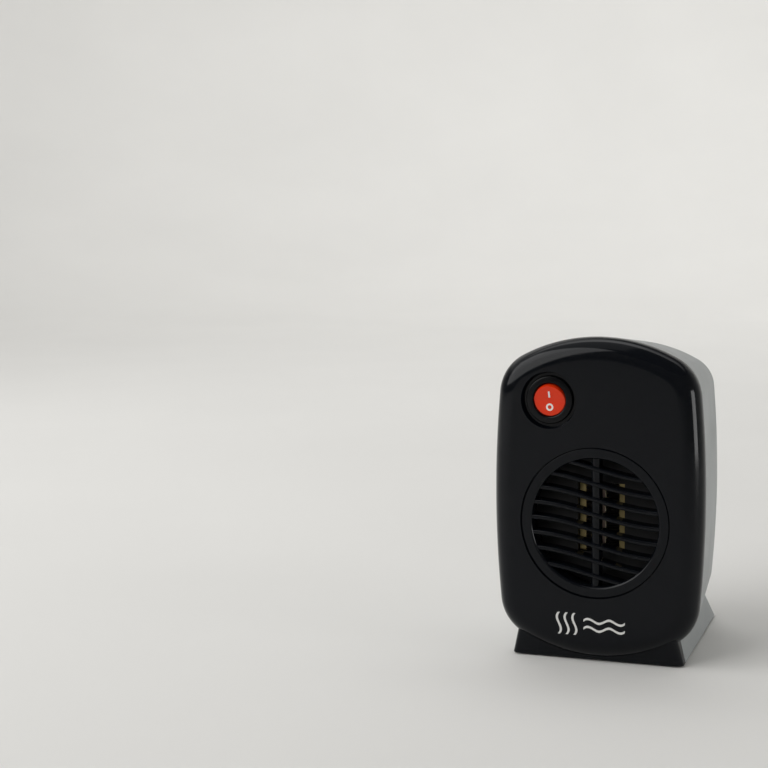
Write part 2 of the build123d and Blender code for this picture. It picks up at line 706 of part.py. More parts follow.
def frame_screws():
    """Two screws that hold the frame's ears against the panel's bosses, driven from behind."""
    screws = []
    seat = FRAME_PLATE + FRAME_PLATE_THICK
    for x, z in mirrored([(EAR_X, FAN_Z)]):
        top = seat + SMALL_HEAD_HIGH
        screw = rod(SMALL_HEAD, seat, top, x, z) + rod(SMALL_SHANK, WALL + 2, seat, x, z)
        screws.append(screw - cross_recess(top, x, z, facing=1))
    return Compound(screws)


def ptc_stones():
    pitch = STONE_HIGH + STONE_GAP
    stones = []
    for place in range(STONE_COUNT):
        z = FAN_Z + (place - (STONE_COUNT - 1) / 2) * pitch
        low, high = z - STONE_HIGH / 2, z + STONE_HIGH / 2
        stones.append(block(-STONE_HALF, STONE_HALF, FIN_FRONT, FIN_FRONT + FIN_DEEP, low, high))
    return Compound(stones)


def contact_strips(clearance=0.0):
    """The two strips beside the stones, each with a tab standing up out of the frame."""
    strips = []
    for sign in (-1, 1):
        near, far = STONE_HALF - clearance, STONE_HALF + STRIP_THICK + clearance
        low, high = sorted((sign * near, sign * far))
        top = FAN_Z + FIN_HALF_HIGH
        strip = block(low, high, FIN_FRONT, FIN_FRONT + FIN_DEEP, FAN_Z - FIN_HALF_HIGH, top)
        tab_front = FIN_FRONT + (TAB_STAGGER if sign > 0 else 0)
        strip += block(low, high, tab_front - clearance, tab_front + TAB_WIDE + clearance,
                       top - 1, top + TAB_RISE)
        strips.append(strip)
    return strips


def electrode_strips():
    return Compound(contact_strips())


def fin_pack(sign):
    """A strip folded to and fro between a contact strip and a side plate."""
    near = STONE_HALF + STRIP_THICK
    count = 2 * FIN_FOLDS
    step = (2 * FIN_HALF_HIGH - FIN_THICK) / count
    half = FIN_THICK / 2
    sheets = []
    for fold in range(count + 1):
        z = FAN_Z - FIN_HALF_HIGH + half + fold * step
        middle = sign * (near + FIN_WIDE / 2)
        sheets.append(Pos(middle, z) * Rectangle(FIN_WIDE, FIN_THICK))
        if fold < count:
            turn = near + half if fold % 2 else near + FIN_WIDE - half
            sheets.append(Pos(sign * turn, z + step / 2) * Rectangle(FIN_THICK, step))
    return prism(Sketch() + sheets, FIN_FRONT, FIN_FRONT + FIN_DEEP)


def side_plates():
    plates = []
    for sign in (-1, 1):
        low, high = sorted((sign * (STACK_HALF - SIDE_PLATE), sign * STACK_HALF))
        plates.append(block(low, high, FIN_FRONT, FIN_FRONT + FIN_DEEP,
                            FAN_Z - FIN_HALF_HIGH, FAN_Z + FIN_HALF_HIGH))
    return Compound(plates)


def spring_bars():
    """Two steel bars across the back of the element that press it against the frame's ledges."""
    half = STACK_HALF + STACK_GAP
    bars = []
    back = FIN_FRONT + FIN_DEEP
    for sign in (-1, 1):
        z = FAN_Z + sign * (FIN_HALF_HIGH - BAR_HIGH)
        low, high = z - BAR_HIGH / 2, z + BAR_HIGH / 2
        bars.append(block(-half, half, back, back + BAR_THICK, low, high))
    return Compound(bars)


def thermostat_cap():
    seat = FRAME_PLATE + FRAME_PLATE_THICK
    cap = rod(CAP_RADIUS, seat, seat + CAP_THICK, CUTOUT_X, FAN_Z + CUTOUT_Z)
    return fillet(cap.faces().sort_by(Axis.Y)[-1].edges(), 0.6)


def thermostat_body():
    front = FRAME_PLATE + FRAME_PLATE_THICK + CAP_THICK
    return rod(CUTOUT_RADIUS, front, front + CUTOUT_LONG, CUTOUT_X, FAN_Z + CUTOUT_Z)


def thermostat_tabs():
    front = FRAME_PLATE + FRAME_PLATE_THICK + CAP_THICK + CUTOUT_LONG
    tabs = []
    for sign in (-1, 1):
        z = FAN_Z + CUTOUT_Z + sign * CUTOUT_TAB_RISE
        wide, long, thick = CUTOUT_TAB
        tabs.append(block(CUTOUT_X - wide / 2, CUTOUT_X + wide / 2, front, front + long,
                          z - thick / 2, z + thick / 2))
    return Compound(tabs)


def thermal_fuse():
    """A sleeved one-shot fuse standing beside the element, with its two lead stubs."""
    depth = FRAME_PLATE + FRAME_PLATE_THICK + FUSE_RADIUS + FUSE_GAP
    place = Pos(FUSE_X, depth, FAN_Z)
    return place * (Cylinder(FUSE_RADIUS, FUSE_LONG) + Cylinder(FUSE_LEAD, FUSE_LONG + 2 * LEAD_LONG))


def fuse_clip():
    """A small steel clip that holds the fuse against the frame's plate."""
    seat = FRAME_PLATE + FRAME_PLATE_THICK
    back = seat + 2 * FUSE_RADIUS + FUSE_GAP
    half = FUSE_RADIUS + FUSE_GAP
    outer, high = half + FUSE_CLIP, FUSE_CLIP_HALF
    clip = block(FUSE_X - outer, FUSE_X + outer, seat, back + FUSE_CLIP, FAN_Z - high, FAN_Z + high)
    return clip - block(FUSE_X - half, FUSE_X + half, seat - 1, back, FAN_Z - high - 1, FAN_Z + high + 1)


# ---- fan ----

def fan_shroud():
    """Ring round the impeller with four arms to a plate that carries the motor."""
    shroud = tube(SHROUD_OUTER, SHROUD_INNER, SHROUD_FRONT, SHROUD_BACK, 0, FAN_Z)
    plate_back = HUB_PLATE + HUB_PLATE_THICK
    shroud += rod(HUB_PLATE_RADIUS, HUB_PLATE, plate_back, 0, FAN_Z)
    reach = SHROUD_INNER + SHROUD_WALL / 2
    for turn in (45, 135, 225, 315):
        arm = block(0, reach, HUB_PLATE, plate_back, -ARM_WIDE / 2, ARM_WIDE / 2)
        shroud += Pos(0, 0, FAN_Z) * Rot(0, turn, 0) * arm
    for x, z in shroud_screw_places():
        ear = rod(EAR_RADIUS, SHROUD_BACK - EAR_THICK, SHROUD_BACK, x, z)
        shroud += ear - rod(SHROUD_OUTER - TINY, 0, CASE_DEPTH, 0, FAN_Z)
        shroud -= rod(SMALL_SHANK + HOLE_GAP, SHROUD_BACK - 5, SHROUD_BACK + 1, x, z)
    half = BOBBIN_HALF + 1
    shroud -= block(-half, half, CORE_FRONT - COIL_DEEP - 1, SHROUD_BACK + 1,
                    0, FAN_Z + BAR_TOP + COIL_DEEP)
    shroud -= rod(SHAFT_HOLE, HUB_PLATE - 1, plate_back + 1, 0, FAN_Z)
    for x, z in mirrored([(BOLT_X, FAN_Z)]):
        shroud -= rod(BOLT_RADIUS, HUB_PLATE - 1, plate_back + 1, x, z)
    return shroud


def shroud_screws():
    top = SHROUD_BACK - EAR_THICK - SMALL_HEAD_HIGH
    return Compound([small_screw(top, SCREW_BITE - 1, x, z) for x, z in shroud_screw_places()])


def fan_blade():
    """One blade: steep at the root, flatter and wider at the tip."""
    def section(radius, chord, pitch):
        angle = math.radians(pitch)
        along = (0, math.sin(angle), math.cos(angle))
        plane = Plane(origin=(radius, BLADE_MID, 0), x_dir=along, z_dir=(1, 0, 0))
        return plane * Rectangle(chord, BLADE_SHEET)

    blade = loft([section(HUB_RADIUS - 2, ROOT_CHORD, ROOT_PITCH),
                  section(BLADE_TIP + 1, TIP_CHORD, TIP_PITCH)])
    return blade & rod(BLADE_TIP, SHROUD_FRONT, SHROUD_BACK)


def impeller():
    fan = rod(HUB_RADIUS, HUB_FRONT, HUB_BACK)
    fan = fillet(fan.faces().sort_by(Axis.Y)[0].edges(), 2.0)
    blade = fan_blade()
    for number in range(BLADES):
        fan += Rot(0, 360 / BLADES * number, 0) * blade
    fan -= rod(SHAFT_RADIUS, HUB_FRONT - 1, HUB_BACK + 1)
    return Pos(0, 0, FAN_Z) * fan


def impeller_clip():
    """A push-on spring washer that holds the impeller on its shaft."""
    return tube(CLIP_RADIUS, SHAFT_RADIUS, HUB_FRONT - CLIP_THICK, HUB_FRONT, 0, FAN_Z)


# ---- motor ----

def motor_shaft():
    return rod(SHAFT_RADIUS, SHAFT_FRONT, SHAFT_BACK, 0, FAN_Z)


def rotor_core():
    front, back = CORE_FRONT + ROTOR_END_GAP, CORE_BACK - ROTOR_END_GAP
    return tube(BORE_RADIUS - ROTOR_GAP, SHAFT_RADIUS, front, back, 0, FAN_Z)


def loop_signs():
    return ((-1, 1), (1, -1))


def loop_bars(front, back):
    """The shading loops' bars through the core, on opposite corners of the bore."""
    bars = []
    half = LOOP_WIRE / 2
    for across, up in loop_signs():
        z = FAN_Z + up * LOOP_Z
        for reach in (LOOP_INNER, LOOP_OUTER):
            x = across * reach
            bars.append(block(x - half, x + half, front, back, z - half, z + half))
    return bars


def stator_core():
    """Laminated C: a block round the rotor and two legs down to the coil's core bar."""
    base = FAN_Z + BAR_LOW
    core = block(-CORE_HALF, CORE_HALF, CORE_FRONT, CORE_BACK, FAN_Z - CORE_RISE, FAN_Z + CORE_RISE)
    core -= rod(BORE_RADIUS, CORE_FRONT - 1, CORE_BACK + 1, 0, FAN_Z)
    for sign in (-1, 1):
        low, high = sorted((sign * LEG_INNER, sign * CORE_HALF))
        core += block(low, high, CORE_FRONT, CORE_BACK, base, FAN_Z - CORE_RISE + 1)
    for bar in loop_bars(CORE_FRONT - 1, CORE_BACK + 1):
        core -= bar
    for x, z in mirrored([(BOLT_X, FAN_Z)]):
        core -= rod(BOLT_RADIUS, CORE_FRONT - 1, CORE_BACK + 1, x, z)
    return core


def coil_core():
    """The straight bar that carries the coil between the core's legs."""
    return block(-LEG_INNER, LEG_INNER, CORE_FRONT, CORE_BACK, FAN_Z + BAR_LOW, FAN_Z + BAR_TOP)


def shading_loops():
    loops = []
    half = LOOP_WIRE / 2
    bars = loop_bars(CORE_FRONT - TINY, CORE_BACK + TINY)
    for number, (across, up) in enumerate(loop_signs()):
        loop = bars[2 * number] + bars[2 * number + 1]
        z = FAN_Z + up * LOOP_Z
        low, high = sorted((across * LOOP_INNER, across * LOOP_OUTER))
        for front in (CORE_FRONT - LOOP_WIRE, CORE_BACK):
            loop += block(low - half, high + half, front, front + LOOP_WIRE, z - half, z + half)
        loops.append(loop)
    return Compound(loops)


def around_core_bar(margin, half):
    front, back = CORE_FRONT - margin, CORE_BACK + margin
    return block(-half, half, front, back, FAN_Z + BAR_LOW - margin, FAN_Z + BAR_TOP + margin)


def coil_bobbin():
    spool = around_core_bar(BOBBIN_WALL, BOBBIN_HALF)
    flange = around_core_bar(COIL_DEEP, BOBBIN_HALF)
    gap = around_core_bar(COIL_DEEP + 1, BOBBIN_HALF - BOBBIN_WALL)
    return spool + (flange - gap) - around_core_bar(0, BOBBIN_HALF + 1)


def coil_winding():
    half = BOBBIN_HALF - BOBBIN_WALL
    winding = around_core_bar(COIL_DEEP - 0.5, half)
    winding = fillet(winding.edges().filter_by(Axis.X), 3.0)
    return winding - around_core_bar(BOBBIN_WALL, half + 1)


def bearing_bracket(front):
    """A cast strip across the core with a seat for the bearing and two bolt holes."""
    back = front + BRACKET_THICK
    half_high = BRACKET_HIGH / 2
    strip = block(-BRACKET_HALF, BRACKET_HALF, front, back, FAN_Z - half_high, FAN_Z + half_high)
    strip = fillet(strip.edges().filter_by(Axis.Y), 3.0)
    strip -= rod(BUSH_RADIUS, front - 1, back + 1, 0, FAN_Z)
    for x, z in mirrored([(BOLT_X, FAN_Z)]):
        strip -= rod(BOLT_RADIUS, front - 1, back + 1, x, z)
    return strip


def front_bearing_bracket():
    return bearing_bracket(CORE_FRONT - BRACKET_THICK)


def rear_bearing_bracket():
    return bearing_bracket(CORE_BACK)


def bearing_bushes():
    bore = SHAFT_RADIUS + BUSH_GAP
    fronts = (CORE_FRONT - BRACKET_THICK, CORE_BACK)
    return Compound([tube(BUSH_RADIUS, bore, y, y + BRACKET_THICK, 0, FAN_Z) for y in fronts])


def motor_bolts():
    """Two bolts through plate, brackets and core, with their heads towards the impeller."""
    bolts = []
    for x, z in mirrored([(BOLT_X, FAN_Z)]):
        top = HUB_PLATE - BOLT_HEAD_HIGH
        bolt = rod(BOLT_HEAD, top, HUB_PLATE, x, z)
        bolt += rod(BOLT_RADIUS, HUB_PLATE, CORE_BACK + BRACKET_THICK + NUT_HIGH + 1, x, z)
        bolts.append(bolt - cross_recess(top, x, z))
    return Compound(bolts)


def motor_nuts():
    front = CORE_BACK + BRACKET_THICK
    nuts = []
    for x, z in mirrored([(BOLT_X, FAN_Z)]):
        hexagon = (Pos(x, z) * RegularPolygon(BOLT_HEAD, 6)) - (Pos(x, z) * Circle(BOLT_RADIUS))
        nuts.append(prism(hexagon, front, front + NUT_HIGH))
    return Compound(nuts)


# ---- cord inlet ----

def cord_bush():
    """Rubber bush snapped into the back wall where the supply cord enters."""
    inside = CASE_DEPTH - WALL
    bush = rod(CORD_FLANGE, CASE_DEPTH, CASE_DEPTH + CORD_FLANGE_THICK, CORD_X, CORD_Z)
    bush = fillet(bush.faces().sort_by(Axis.Y)[-1].edges(), CORD_SOFT)
    bush += rod(BUSH_NECK, inside - TINY, CASE_DEPTH + 1, CORD_X, CORD_Z)
    catch = Plane.XZ.offset(-inside) * (Pos(CORD_X, CORD_Z) * Circle(BUSH_NECK + CORD_CATCH_RISE))
    nose = Circle(BUSH_NECK - CORD_NOSE_FALL)
    nose = Plane.XZ.offset(-inside + CORD_CATCH) * (Pos(CORD_X, CORD_Z) * nose)
    bush += loft([catch, nose])
    return bush - rod(CORD_BORE, inside - 2 * CORD_CATCH, CASE_DEPTH + 10, CORD_X, CORD_Z)


PIECES = {
    "front_panel": front_panel,
    "rear_housing": rear_housing,
    "base_plate": base_plate,
    "rubber_feet": rubber_feet,
    "plate_screws": plate_screws,
    "housing_screws": housing_screws,
    "outlet_grille": outlet_grille,
    "printed_mark": printed_mark,
    "switch_body": switch_body,
    "switch_rocker": switch_rocker,
    "rocker_legends": rocker_legends,
    "switch_plunger": switch_plunger,
    "switch_spring": switch_spring,
    "contact_seesaw": contact_seesaw,
    "switch_terminals": switch_terminals,
    "heater_frame": heater_frame,
    "frame_screws": frame_screws,
    "ptc_stones": ptc_stones,
    "electrode_strips": electrode_strips,
    "fin_pack_left": lambda: fin_pack(-1),
    "fin_pack_right": lambda: fin_pack(1),
    "side_plates": side_plates,
    "spring_bars": spring_bars,
    "thermostat_cap": thermostat_cap,
    "thermostat_body": thermostat_body,
    "thermostat_tabs": thermostat_tabs,
    "thermal_fuse": thermal_fuse,
    "fuse_clip": fuse_clip,
    "fan_shroud": fan_shroud,
    "shroud_screws": shroud_screws,
    "impeller": impeller,
    "impeller_clip": impeller_clip,
    "motor_shaft": motor_shaft,
    "rotor_core": rotor_core,
    "stator_core": stator_core,
    "coil_core": coil_core,
    "shading_loops": shading_loops,
    "coil_bobbin": coil_bobbin,
    "coil_winding": coil_winding,
    "front_bearing_bracket": front_bearing_bracket,
    "rear_bearing_bracket": rear_bearing_bracket,
    "bearing_bushes": bearing_bushes,
    "motor_bolts": motor_bolts,
    "motor_nuts": motor_nuts,
    "cord_bush": cord_bush,
}

os.makedirs("parts", exist_ok=True)
shapes = {name: make() for name, make in PIECES.items()}
boxes = [shape.bounding_box() for shape in shapes.values()]
front = min(box.min.Y for box in boxes)
rear = max(box.max.Y for box in boxes)
to_centre = Pos(0, -(front + rear) / 2, 0)
for name, shape in shapes.items():
    export_step(to_centre * shape, f"parts/{name}.step")

middle = (front + rear) / 2
print("face plane y", round(-middle, 3))
print("switch pivot", SWITCH_X, round(PIVOT_DEPTH - middle, 3), SWITCH_Z)
print("see-saw pivot", SWITCH_X, round(SEESAW_DEPTH - middle, 3), SWITCH_Z)
print("fan axis x 0, z", FAN_Z)
print("cord bush mouth", CORD_X, round(CASE_DEPTH + CORD_FLANGE_THICK - middle, 3), CORD_Z)
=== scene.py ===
import math

import bmesh
import bpy
from mathutils import Matrix, Vector


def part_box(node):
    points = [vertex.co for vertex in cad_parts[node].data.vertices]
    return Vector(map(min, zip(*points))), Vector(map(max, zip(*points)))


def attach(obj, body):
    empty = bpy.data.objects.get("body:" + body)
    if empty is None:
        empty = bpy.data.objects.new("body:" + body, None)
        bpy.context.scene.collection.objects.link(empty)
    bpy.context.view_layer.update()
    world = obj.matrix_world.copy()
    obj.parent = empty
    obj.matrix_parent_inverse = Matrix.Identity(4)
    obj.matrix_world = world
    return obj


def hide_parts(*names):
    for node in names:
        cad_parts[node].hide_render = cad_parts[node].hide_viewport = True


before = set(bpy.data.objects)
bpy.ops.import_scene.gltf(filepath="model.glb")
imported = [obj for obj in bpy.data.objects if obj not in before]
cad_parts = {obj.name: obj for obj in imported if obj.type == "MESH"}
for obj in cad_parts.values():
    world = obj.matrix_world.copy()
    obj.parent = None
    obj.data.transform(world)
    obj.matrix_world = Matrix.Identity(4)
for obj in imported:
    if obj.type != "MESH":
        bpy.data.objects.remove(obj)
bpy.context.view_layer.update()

# ---- camera and studio ----
# A longish lens a little above the heater and to its right, looking down on it. The heater
# stands at the right of the frame, so the lens is shifted sideways.
CAMERA_PLACE = (0.157, -0.6545, 0.2079)
CAMERA_TURN = math.radians(15.6)
CAMERA_DOWN = math.radians(6.82)

camera_data = bpy.data.cameras.new("camera")
camera_data.lens = 64.34
camera_data.sensor_width = 36.0
camera_data.shift_x = -0.24
camera_data.clip_start = 0.01
camera = bpy.data.objects.new("camera", camera_data)
camera.location = CAMERA_PLACE
camera.rotation_euler = (math.radians(90) - CAMERA_DOWN, 0, CAMERA_TURN)
bpy.context.scene.collection.objects.link(camera)
bpy.context.scene.camera = camera


def srgb(code):
    """A hex colour turned to the linear values that shaders work in."""
    parts = [int(code[i:i + 2], 16) / 255 for i in (1, 3, 5)]
    linear = [p / 12.92 if p <= 0.04045 else ((p + 0.055) / 1.055) ** 2.4 for p in parts]
    return (*linear, 1.0)


def add_node(tree, kind, inputs=None, **settings):
    """One shader node with its settings; inputs hold values or the sockets that feed them."""
    made = tree.nodes.new("ShaderNode" + kind)
    for setting, value in settings.items():
        setattr(made, setting, value)
    for name, value in (inputs or {}).items():
        if isinstance(value, bpy.types.NodeSocket):
            tree.links.new(value, made.inputs[name])
        else:
            made.inputs[name].default_value = value
    return made


def start_material(name):
    """A material with one Principled shader, and the coordinates its patterns read."""
    material = bpy.data.materials.new(name)
    material.use_nodes = True
    tree = material.node_tree
    tree.nodes.clear()
    shader = add_node(tree, "BsdfPrincipled")
    add_node(tree, "OutputMaterial", {"Surface": shader.outputs["BSDF"]})
    place = add_node(tree, "TexCoord").outputs["Object"]
    return material, tree, shader, place


def new_object(name, mesh_source):
    """Turn a bmesh into an object in the scene."""
    mesh = bpy.data.meshes.new(name)
    mesh_source.to_mesh(mesh)
    mesh_source.free()
    made = bpy.data.objects.new(name, mesh)
    bpy.context.scene.collection.objects.link(made)
    return made


def soft_light(name, place, aim, size, power, spread=180):
    """A softbox that faces a point; a smaller spread keeps its light on what it faces."""
    data = bpy.data.lights.new(name, "AREA")
    data.shape = "RECTANGLE"
    data.size, data.size_y = size
    data.energy = power
    data.spread = math.radians(spread)
    light = bpy.data.objects.new(name, data)
    light.location = place
    light.rotation_euler = (Vector(aim) - Vector(place)).to_track_quat("-Z", "Y").to_euler()
    bpy.context.scene.collection.objects.link(light)


CENTRE = (0.0, 0.0, 0.08)
soft_light("front", (-1.15, -0.95, 1.05), CENTRE, (1.7, 1.7), 25.0)
soft_light("top", (-0.6, 0.1, 1.1), CENTRE, (1.6, 1.6), 4.5)
soft_light("side", (0.85, -0.15, 0.1), CENTRE, (0.3, 0.4), 2.6)
soft_light("backdrop", (0, 1.5, 3.2), (0, 3.2, 0.2), (5.0, 2.0), 62.0, spread=130)

world = bpy.data.worlds.new("studio")
world.use_nodes = True
world.node_tree.nodes["Background"].inputs["Color"].default_value = srgb("#dcdcda")
world.node_tree.nodes["Background"].inputs["Strength"].default_value = 0.22
bpy.context.scene.world = world
bpy.context.scene.view_settings.view_transform = "Standard"

# A wide pale bowl: a flat floor that sweeps up into the backdrop all round, with the faint
# cloudiness of painted board.
FLOOR_FLAT, FLOOR_SWEEP, BOWL_TOP = 2.2, 1.6, 3.4      # metres
floor_mesh = bmesh.new()
points = [(0.0, 0.0), (1.0, 0.0), (FLOOR_FLAT, 0.0)]
points += [(FLOOR_FLAT + FLOOR_SWEEP * math.sin(math.radians(a)),
            FLOOR_SWEEP - FLOOR_SWEEP * math.cos(math.radians(a))) for a in range(6, 91, 6)]
points += [(FLOOR_FLAT + FLOOR_SWEEP, BOWL_TOP)]
points = [floor_mesh.verts.new((r, 0, z)) for r, z in points]
profile = [floor_mesh.edges.new(pair) for pair in zip(points, points[1:])]
bmesh.ops.spin(floor_mesh, geom=points + profile, cent=(0, 0, 0), axis=(0, 0, 1), dvec=(0, 0, 0),
               angle=2 * math.pi, steps=96)
bmesh.ops.remove_doubles(floor_mesh, verts=floor_mesh.verts, dist=1e-5)
bmesh.ops.recalc_face_normals(floor_mesh, faces=floor_mesh.faces)
for face in floor_mesh.faces:
    face.smooth = True
floor = new_object("floor", floor_mesh)
material, tree, shader, place = start_material("painted_board")
cloud = add_node(tree, "TexNoise", {"Vector": place, "Scale": 3.0, "Detail": 3.0})
tint = add_node(tree, "Mix", {"Factor": cloud.outputs["Fac"], "A": srgb("#d6d5d2"),
                              "B": srgb("#deddda")}, data_type="RGBA")
tree.links.new(tint.outputs["Result"], shader.inputs["Base Color"])
shader.inputs["Roughness"].default_value = 0.7
floor.data.materials.append(material)

# ---- front panel ----
# One injection-moulded shell of gloss black ABS with a 10 mm roll-off around a flat face, a
# dish for the switch, a stepped hole for the grille, and the front strip of the foot.
# The screw posts and bosses stand on its inside.
MM = 0.001
face_low, face_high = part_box("front_panel")
CASE_TOP = face_high.z / MM
HALF_WIDTH = face_high.x / MM
FACE_Y = face_low.y / MM      # the flat of the face; depths are measured behind it
CASE_LOW = 1.0
END_ARC = 79.0
SIDE_ARC = 540.0
CORNER = 21.4
FACE_ROUND = 10.0
PANEL_DEPTH = 11.4
CASE_DEPTH = 82.6
WALL = 2.2
FOOT_LIFT = 0.8
FOOT_TOP = 24.0
FOOT_HALF = (41.8, 36.3)      # the foot's three measures run from its lower edge to its top
FOOT_FRONT = (4.8, 2.4)
FOOT_REAR = (96.0, 77.0)
FOOT_CORNER = 3.0
OVERCUT, FOOT_OPEN = 5.0, 4.0      # how far hollowing blocks run past a rim and below the foot
OUTLET_Z = 67.4
SWITCH_X, SWITCH_Z = -22.0, 124.6


def outline(mesh, depth, side_inset, end_inset):
    """Edges of the casing's outline: crown, corner and bowed side, spun and then mirrored."""
    middle = (CASE_TOP + CASE_LOW) / 2
    crown_radius = END_ARC - end_inset
    side_radius = SIDE_ARC - side_inset
    corner_radius = CORNER - side_inset
    crown_z = CASE_TOP - END_ARC - middle
    side_x = HALF_WIDTH - SIDE_ARC
    # the corner's centre lies where both larger arcs, less the corner's radius, cross
    near, far = crown_radius - corner_radius, side_radius - corner_radius
    gap = math.hypot(side_x, crown_z)
    along = (near ** 2 - far ** 2 + gap ** 2) / (2 * gap)
    across = math.sqrt(near ** 2 - along ** 2)
    toward = Vector((side_x, -crown_z)) / gap
    corner_x = toward.x * along + toward.y * across
    corner_z = crown_z + toward.y * along - toward.x * across
    first = math.atan2(corner_x, corner_z - crown_z)
    second = math.atan2(corner_x - side_x, corner_z)
    arcs = (((0, crown_z), first, 20), ((corner_x, corner_z), second - first, 14),
            ((side_x, 0), math.pi / 2 - second, 16))
    last = mesh.verts.new((0, depth, crown_z + crown_radius))
    for (x, z), angle, steps in arcs:
        arc = bmesh.ops.spin(mesh, geom=[last], cent=(x, depth, z), axis=(0, 1, 0),
                             dvec=(0, 0, 0), angle=angle, steps=steps)
        last = arc["geom_last"][0]

    def this_outline():
        edges = [e for e in mesh.edges if all(abs(v.co.y - depth) < 1e-3 for v in e.verts)]
        return edges, list({v for e in edges for v in e.verts})

    for axis in "ZX":
        edges, points = this_outline()
        bmesh.ops.mirror(mesh, geom=edges + points, axis=axis, merge_dist=1e-4)
    edges, points = this_outline()
    bmesh.ops.translate(mesh, verts=points, vec=(0, 0, middle))
    return edges


def casing_block(front, back, inset, taper, rounding, round_front):
    """A closed block from outline to outline, with one of its rims rounded over."""
    mesh = bmesh.new()
    near = outline(mesh, front, inset, inset)
    far = outline(mesh, back, taper[0] + inset, taper[1] + inset)
    bmesh.ops.bridge_loops(mesh, edges=near + far)
    rims = {True: near, False: far}
    for rim in rims.values():
        bmesh.ops.contextual_create(mesh, geom=rim)
    bmesh.ops.recalc_face_normals(mesh, faces=mesh.faces)
    bmesh.ops.bevel(mesh, geom=rims[round_front], offset=rounding, offset_type="OFFSET",
                    segments=14, profile=0.5, affect="EDGES", clamp_overlap=False, material=-1)
    return mesh


def foot_block(low, high, inset, corner, front_limit=None, back_limit=None):
    """The foot's tapered block between two heights, cut off at a depth where one is given."""
    mesh = bmesh.new()
    bmesh.ops.create_cube(mesh, size=2)
    for v in mesh.verts:
        height = low if v.co.z < 0 else high
        share = (height - FOOT_LIFT) / (FOOT_TOP - FOOT_LIFT)
        half = FOOT_HALF[0] + (FOOT_HALF[1] - FOOT_HALF[0]) * share - inset
        front = FOOT_FRONT[0] + (FOOT_FRONT[1] - FOOT_FRONT[0]) * share + inset
        rear = FOOT_REAR[0] + (FOOT_REAR[1] - FOOT_REAR[0]) * share - inset
        v.co = (v.co.x * half, front if v.co.y < 0 else rear, height)
    upright = [e for e in mesh.edges if abs(e.verts[0].co.z - e.verts[1].co.z) > 1]
    bmesh.ops.bevel(mesh, geom=upright, offset=corner, segments=6, profile=0.5, affect="EDGES",
                    material=-1)
    for limit, outer in ((front_limit, False), (back_limit, True)):
        if limit is not None:
            cut = bmesh.ops.bisect_plane(mesh, geom=mesh.verts[:] + mesh.edges[:] + mesh.faces[:],
                                         plane_co=(0, limit, 0), plane_no=(0, 1, 0),
                                         clear_inner=not outer, clear_outer=outer)
            rim = [g for g in cut["geom_cut"] if isinstance(g, bmesh.types.BMEdge)]
            bmesh.ops.contextual_create(mesh, geom=rim)
    bmesh.ops.recalc_face_normals(mesh, faces=mesh.faces)
    return mesh


def turned(profile, x=0.0, z=0.0, steps=96, mesh=None):
    """A round piece about an axis along Y: (radius, depth) points turned a full circle."""
    mesh = mesh or bmesh.new()
    points = [mesh.verts.new((radius, depth, 0)) for radius, depth in profile]
    edges = [mesh.edges.new(pair) for pair in zip(points, points[1:] + points[:1])]
    edges = [e for e in edges if e.calc_length() > 1e-6 and
             max(abs(v.co.x) for v in e.verts) > 1e-6]
    spun = bmesh.ops.spin(mesh, geom=points + edges, cent=(0, 0, 0), axis=(0, 1, 0),
                          dvec=(0, 0, 0), angle=2 * math.pi, steps=steps, use_merge=True)
    # only this turn's points are cleaned and moved, as the mesh may hold other pieces already
    group = set(points) | {g for g in spun["geom_last"] if isinstance(g, bmesh.types.BMVert)}
    while True:
        more = {e.other_vert(v) for v in group for e in v.link_edges} - group
        if not more:
            break
        group |= more
    loose = [e for v in group for e in v.link_edges if not e.link_faces]
    bmesh.ops.delete(mesh, geom=list(set(loose)), context="EDGES")
    group = [v for v in group if v.is_valid]
    bmesh.ops.translate(mesh, verts=group, vec=(x, 0, z))
    bmesh.ops.remove_doubles(mesh, verts=mesh.verts, dist=1e-5)
    bmesh.ops.recalc_face_normals(mesh, faces=mesh.faces)
    return mesh


def rod(radius, front, back, x=0.0, z=0.0, mesh=None, steps=48):
    """A plain round rod between two depths."""
    return turned([(0, front), (radius, front), (radius, back), (0, back)], x, z, steps, mesh)


def shape(piece, other, operation):
    """Join a closed shape to a piece or cut it out of the piece, and drop the shape."""
    tool = new_object("tool", other)
    modifier = piece.modifiers.new("shape", "BOOLEAN")
    modifier.object, modifier.operation, modifier.solver = tool, operation, "EXACT"
    bpy.context.view_layer.update()
    graph = bpy.context.evaluated_depsgraph_get()
    made = bpy.data.meshes.new_from_object(piece.evaluated_get(graph))
    piece.modifiers.clear()
    piece.data = made
    bpy.data.objects.remove(tool)


def finish_piece(piece, body, material, edge=0.0, angle=35.0):
    """Millimetres behind the face become metres in place, edges get their small radius, and
    the shading follows the larger faces."""
    mesh = bmesh.new()
    mesh.from_mesh(piece.data)
    bmesh.ops.remove_doubles(mesh, verts=mesh.verts, dist=1e-4)
    bmesh.ops.dissolve_degenerate(mesh, dist=1e-4, edges=mesh.edges)
    bmesh.ops.translate(mesh, verts=mesh.verts, vec=(0, FACE_Y, 0))
    bmesh.ops.scale(mesh, verts=mesh.verts, vec=(MM, MM, MM))
    for face in mesh.faces:
        face.smooth = True
    for e in mesh.edges:
        e.smooth = not (e.is_manifold and e.calc_face_angle(0) > math.radians(angle))
    mesh.to_mesh(piece.data)
    mesh.free()
    piece.data.materials.clear()
    piece.data.materials.append(material)
    if edge:
        bevel = piece.modifiers.new("edge radius", "BEVEL")
        bevel.width, bevel.segments = edge * MM, 2
        bevel.limit_method, bevel.angle_limit = "ANGLE", math.radians(angle)
        bevel.miter_outer = "MITER_ARC"
    normals = piece.modifiers.new("even shading", "WEIGHTED_NORMAL")
    normals.keep_sharp = True
    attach(piece, body)
    return piece


def per_mm(size):
    """The texture scale whose features are about this many millimetres across."""
    return 1000.0 / size


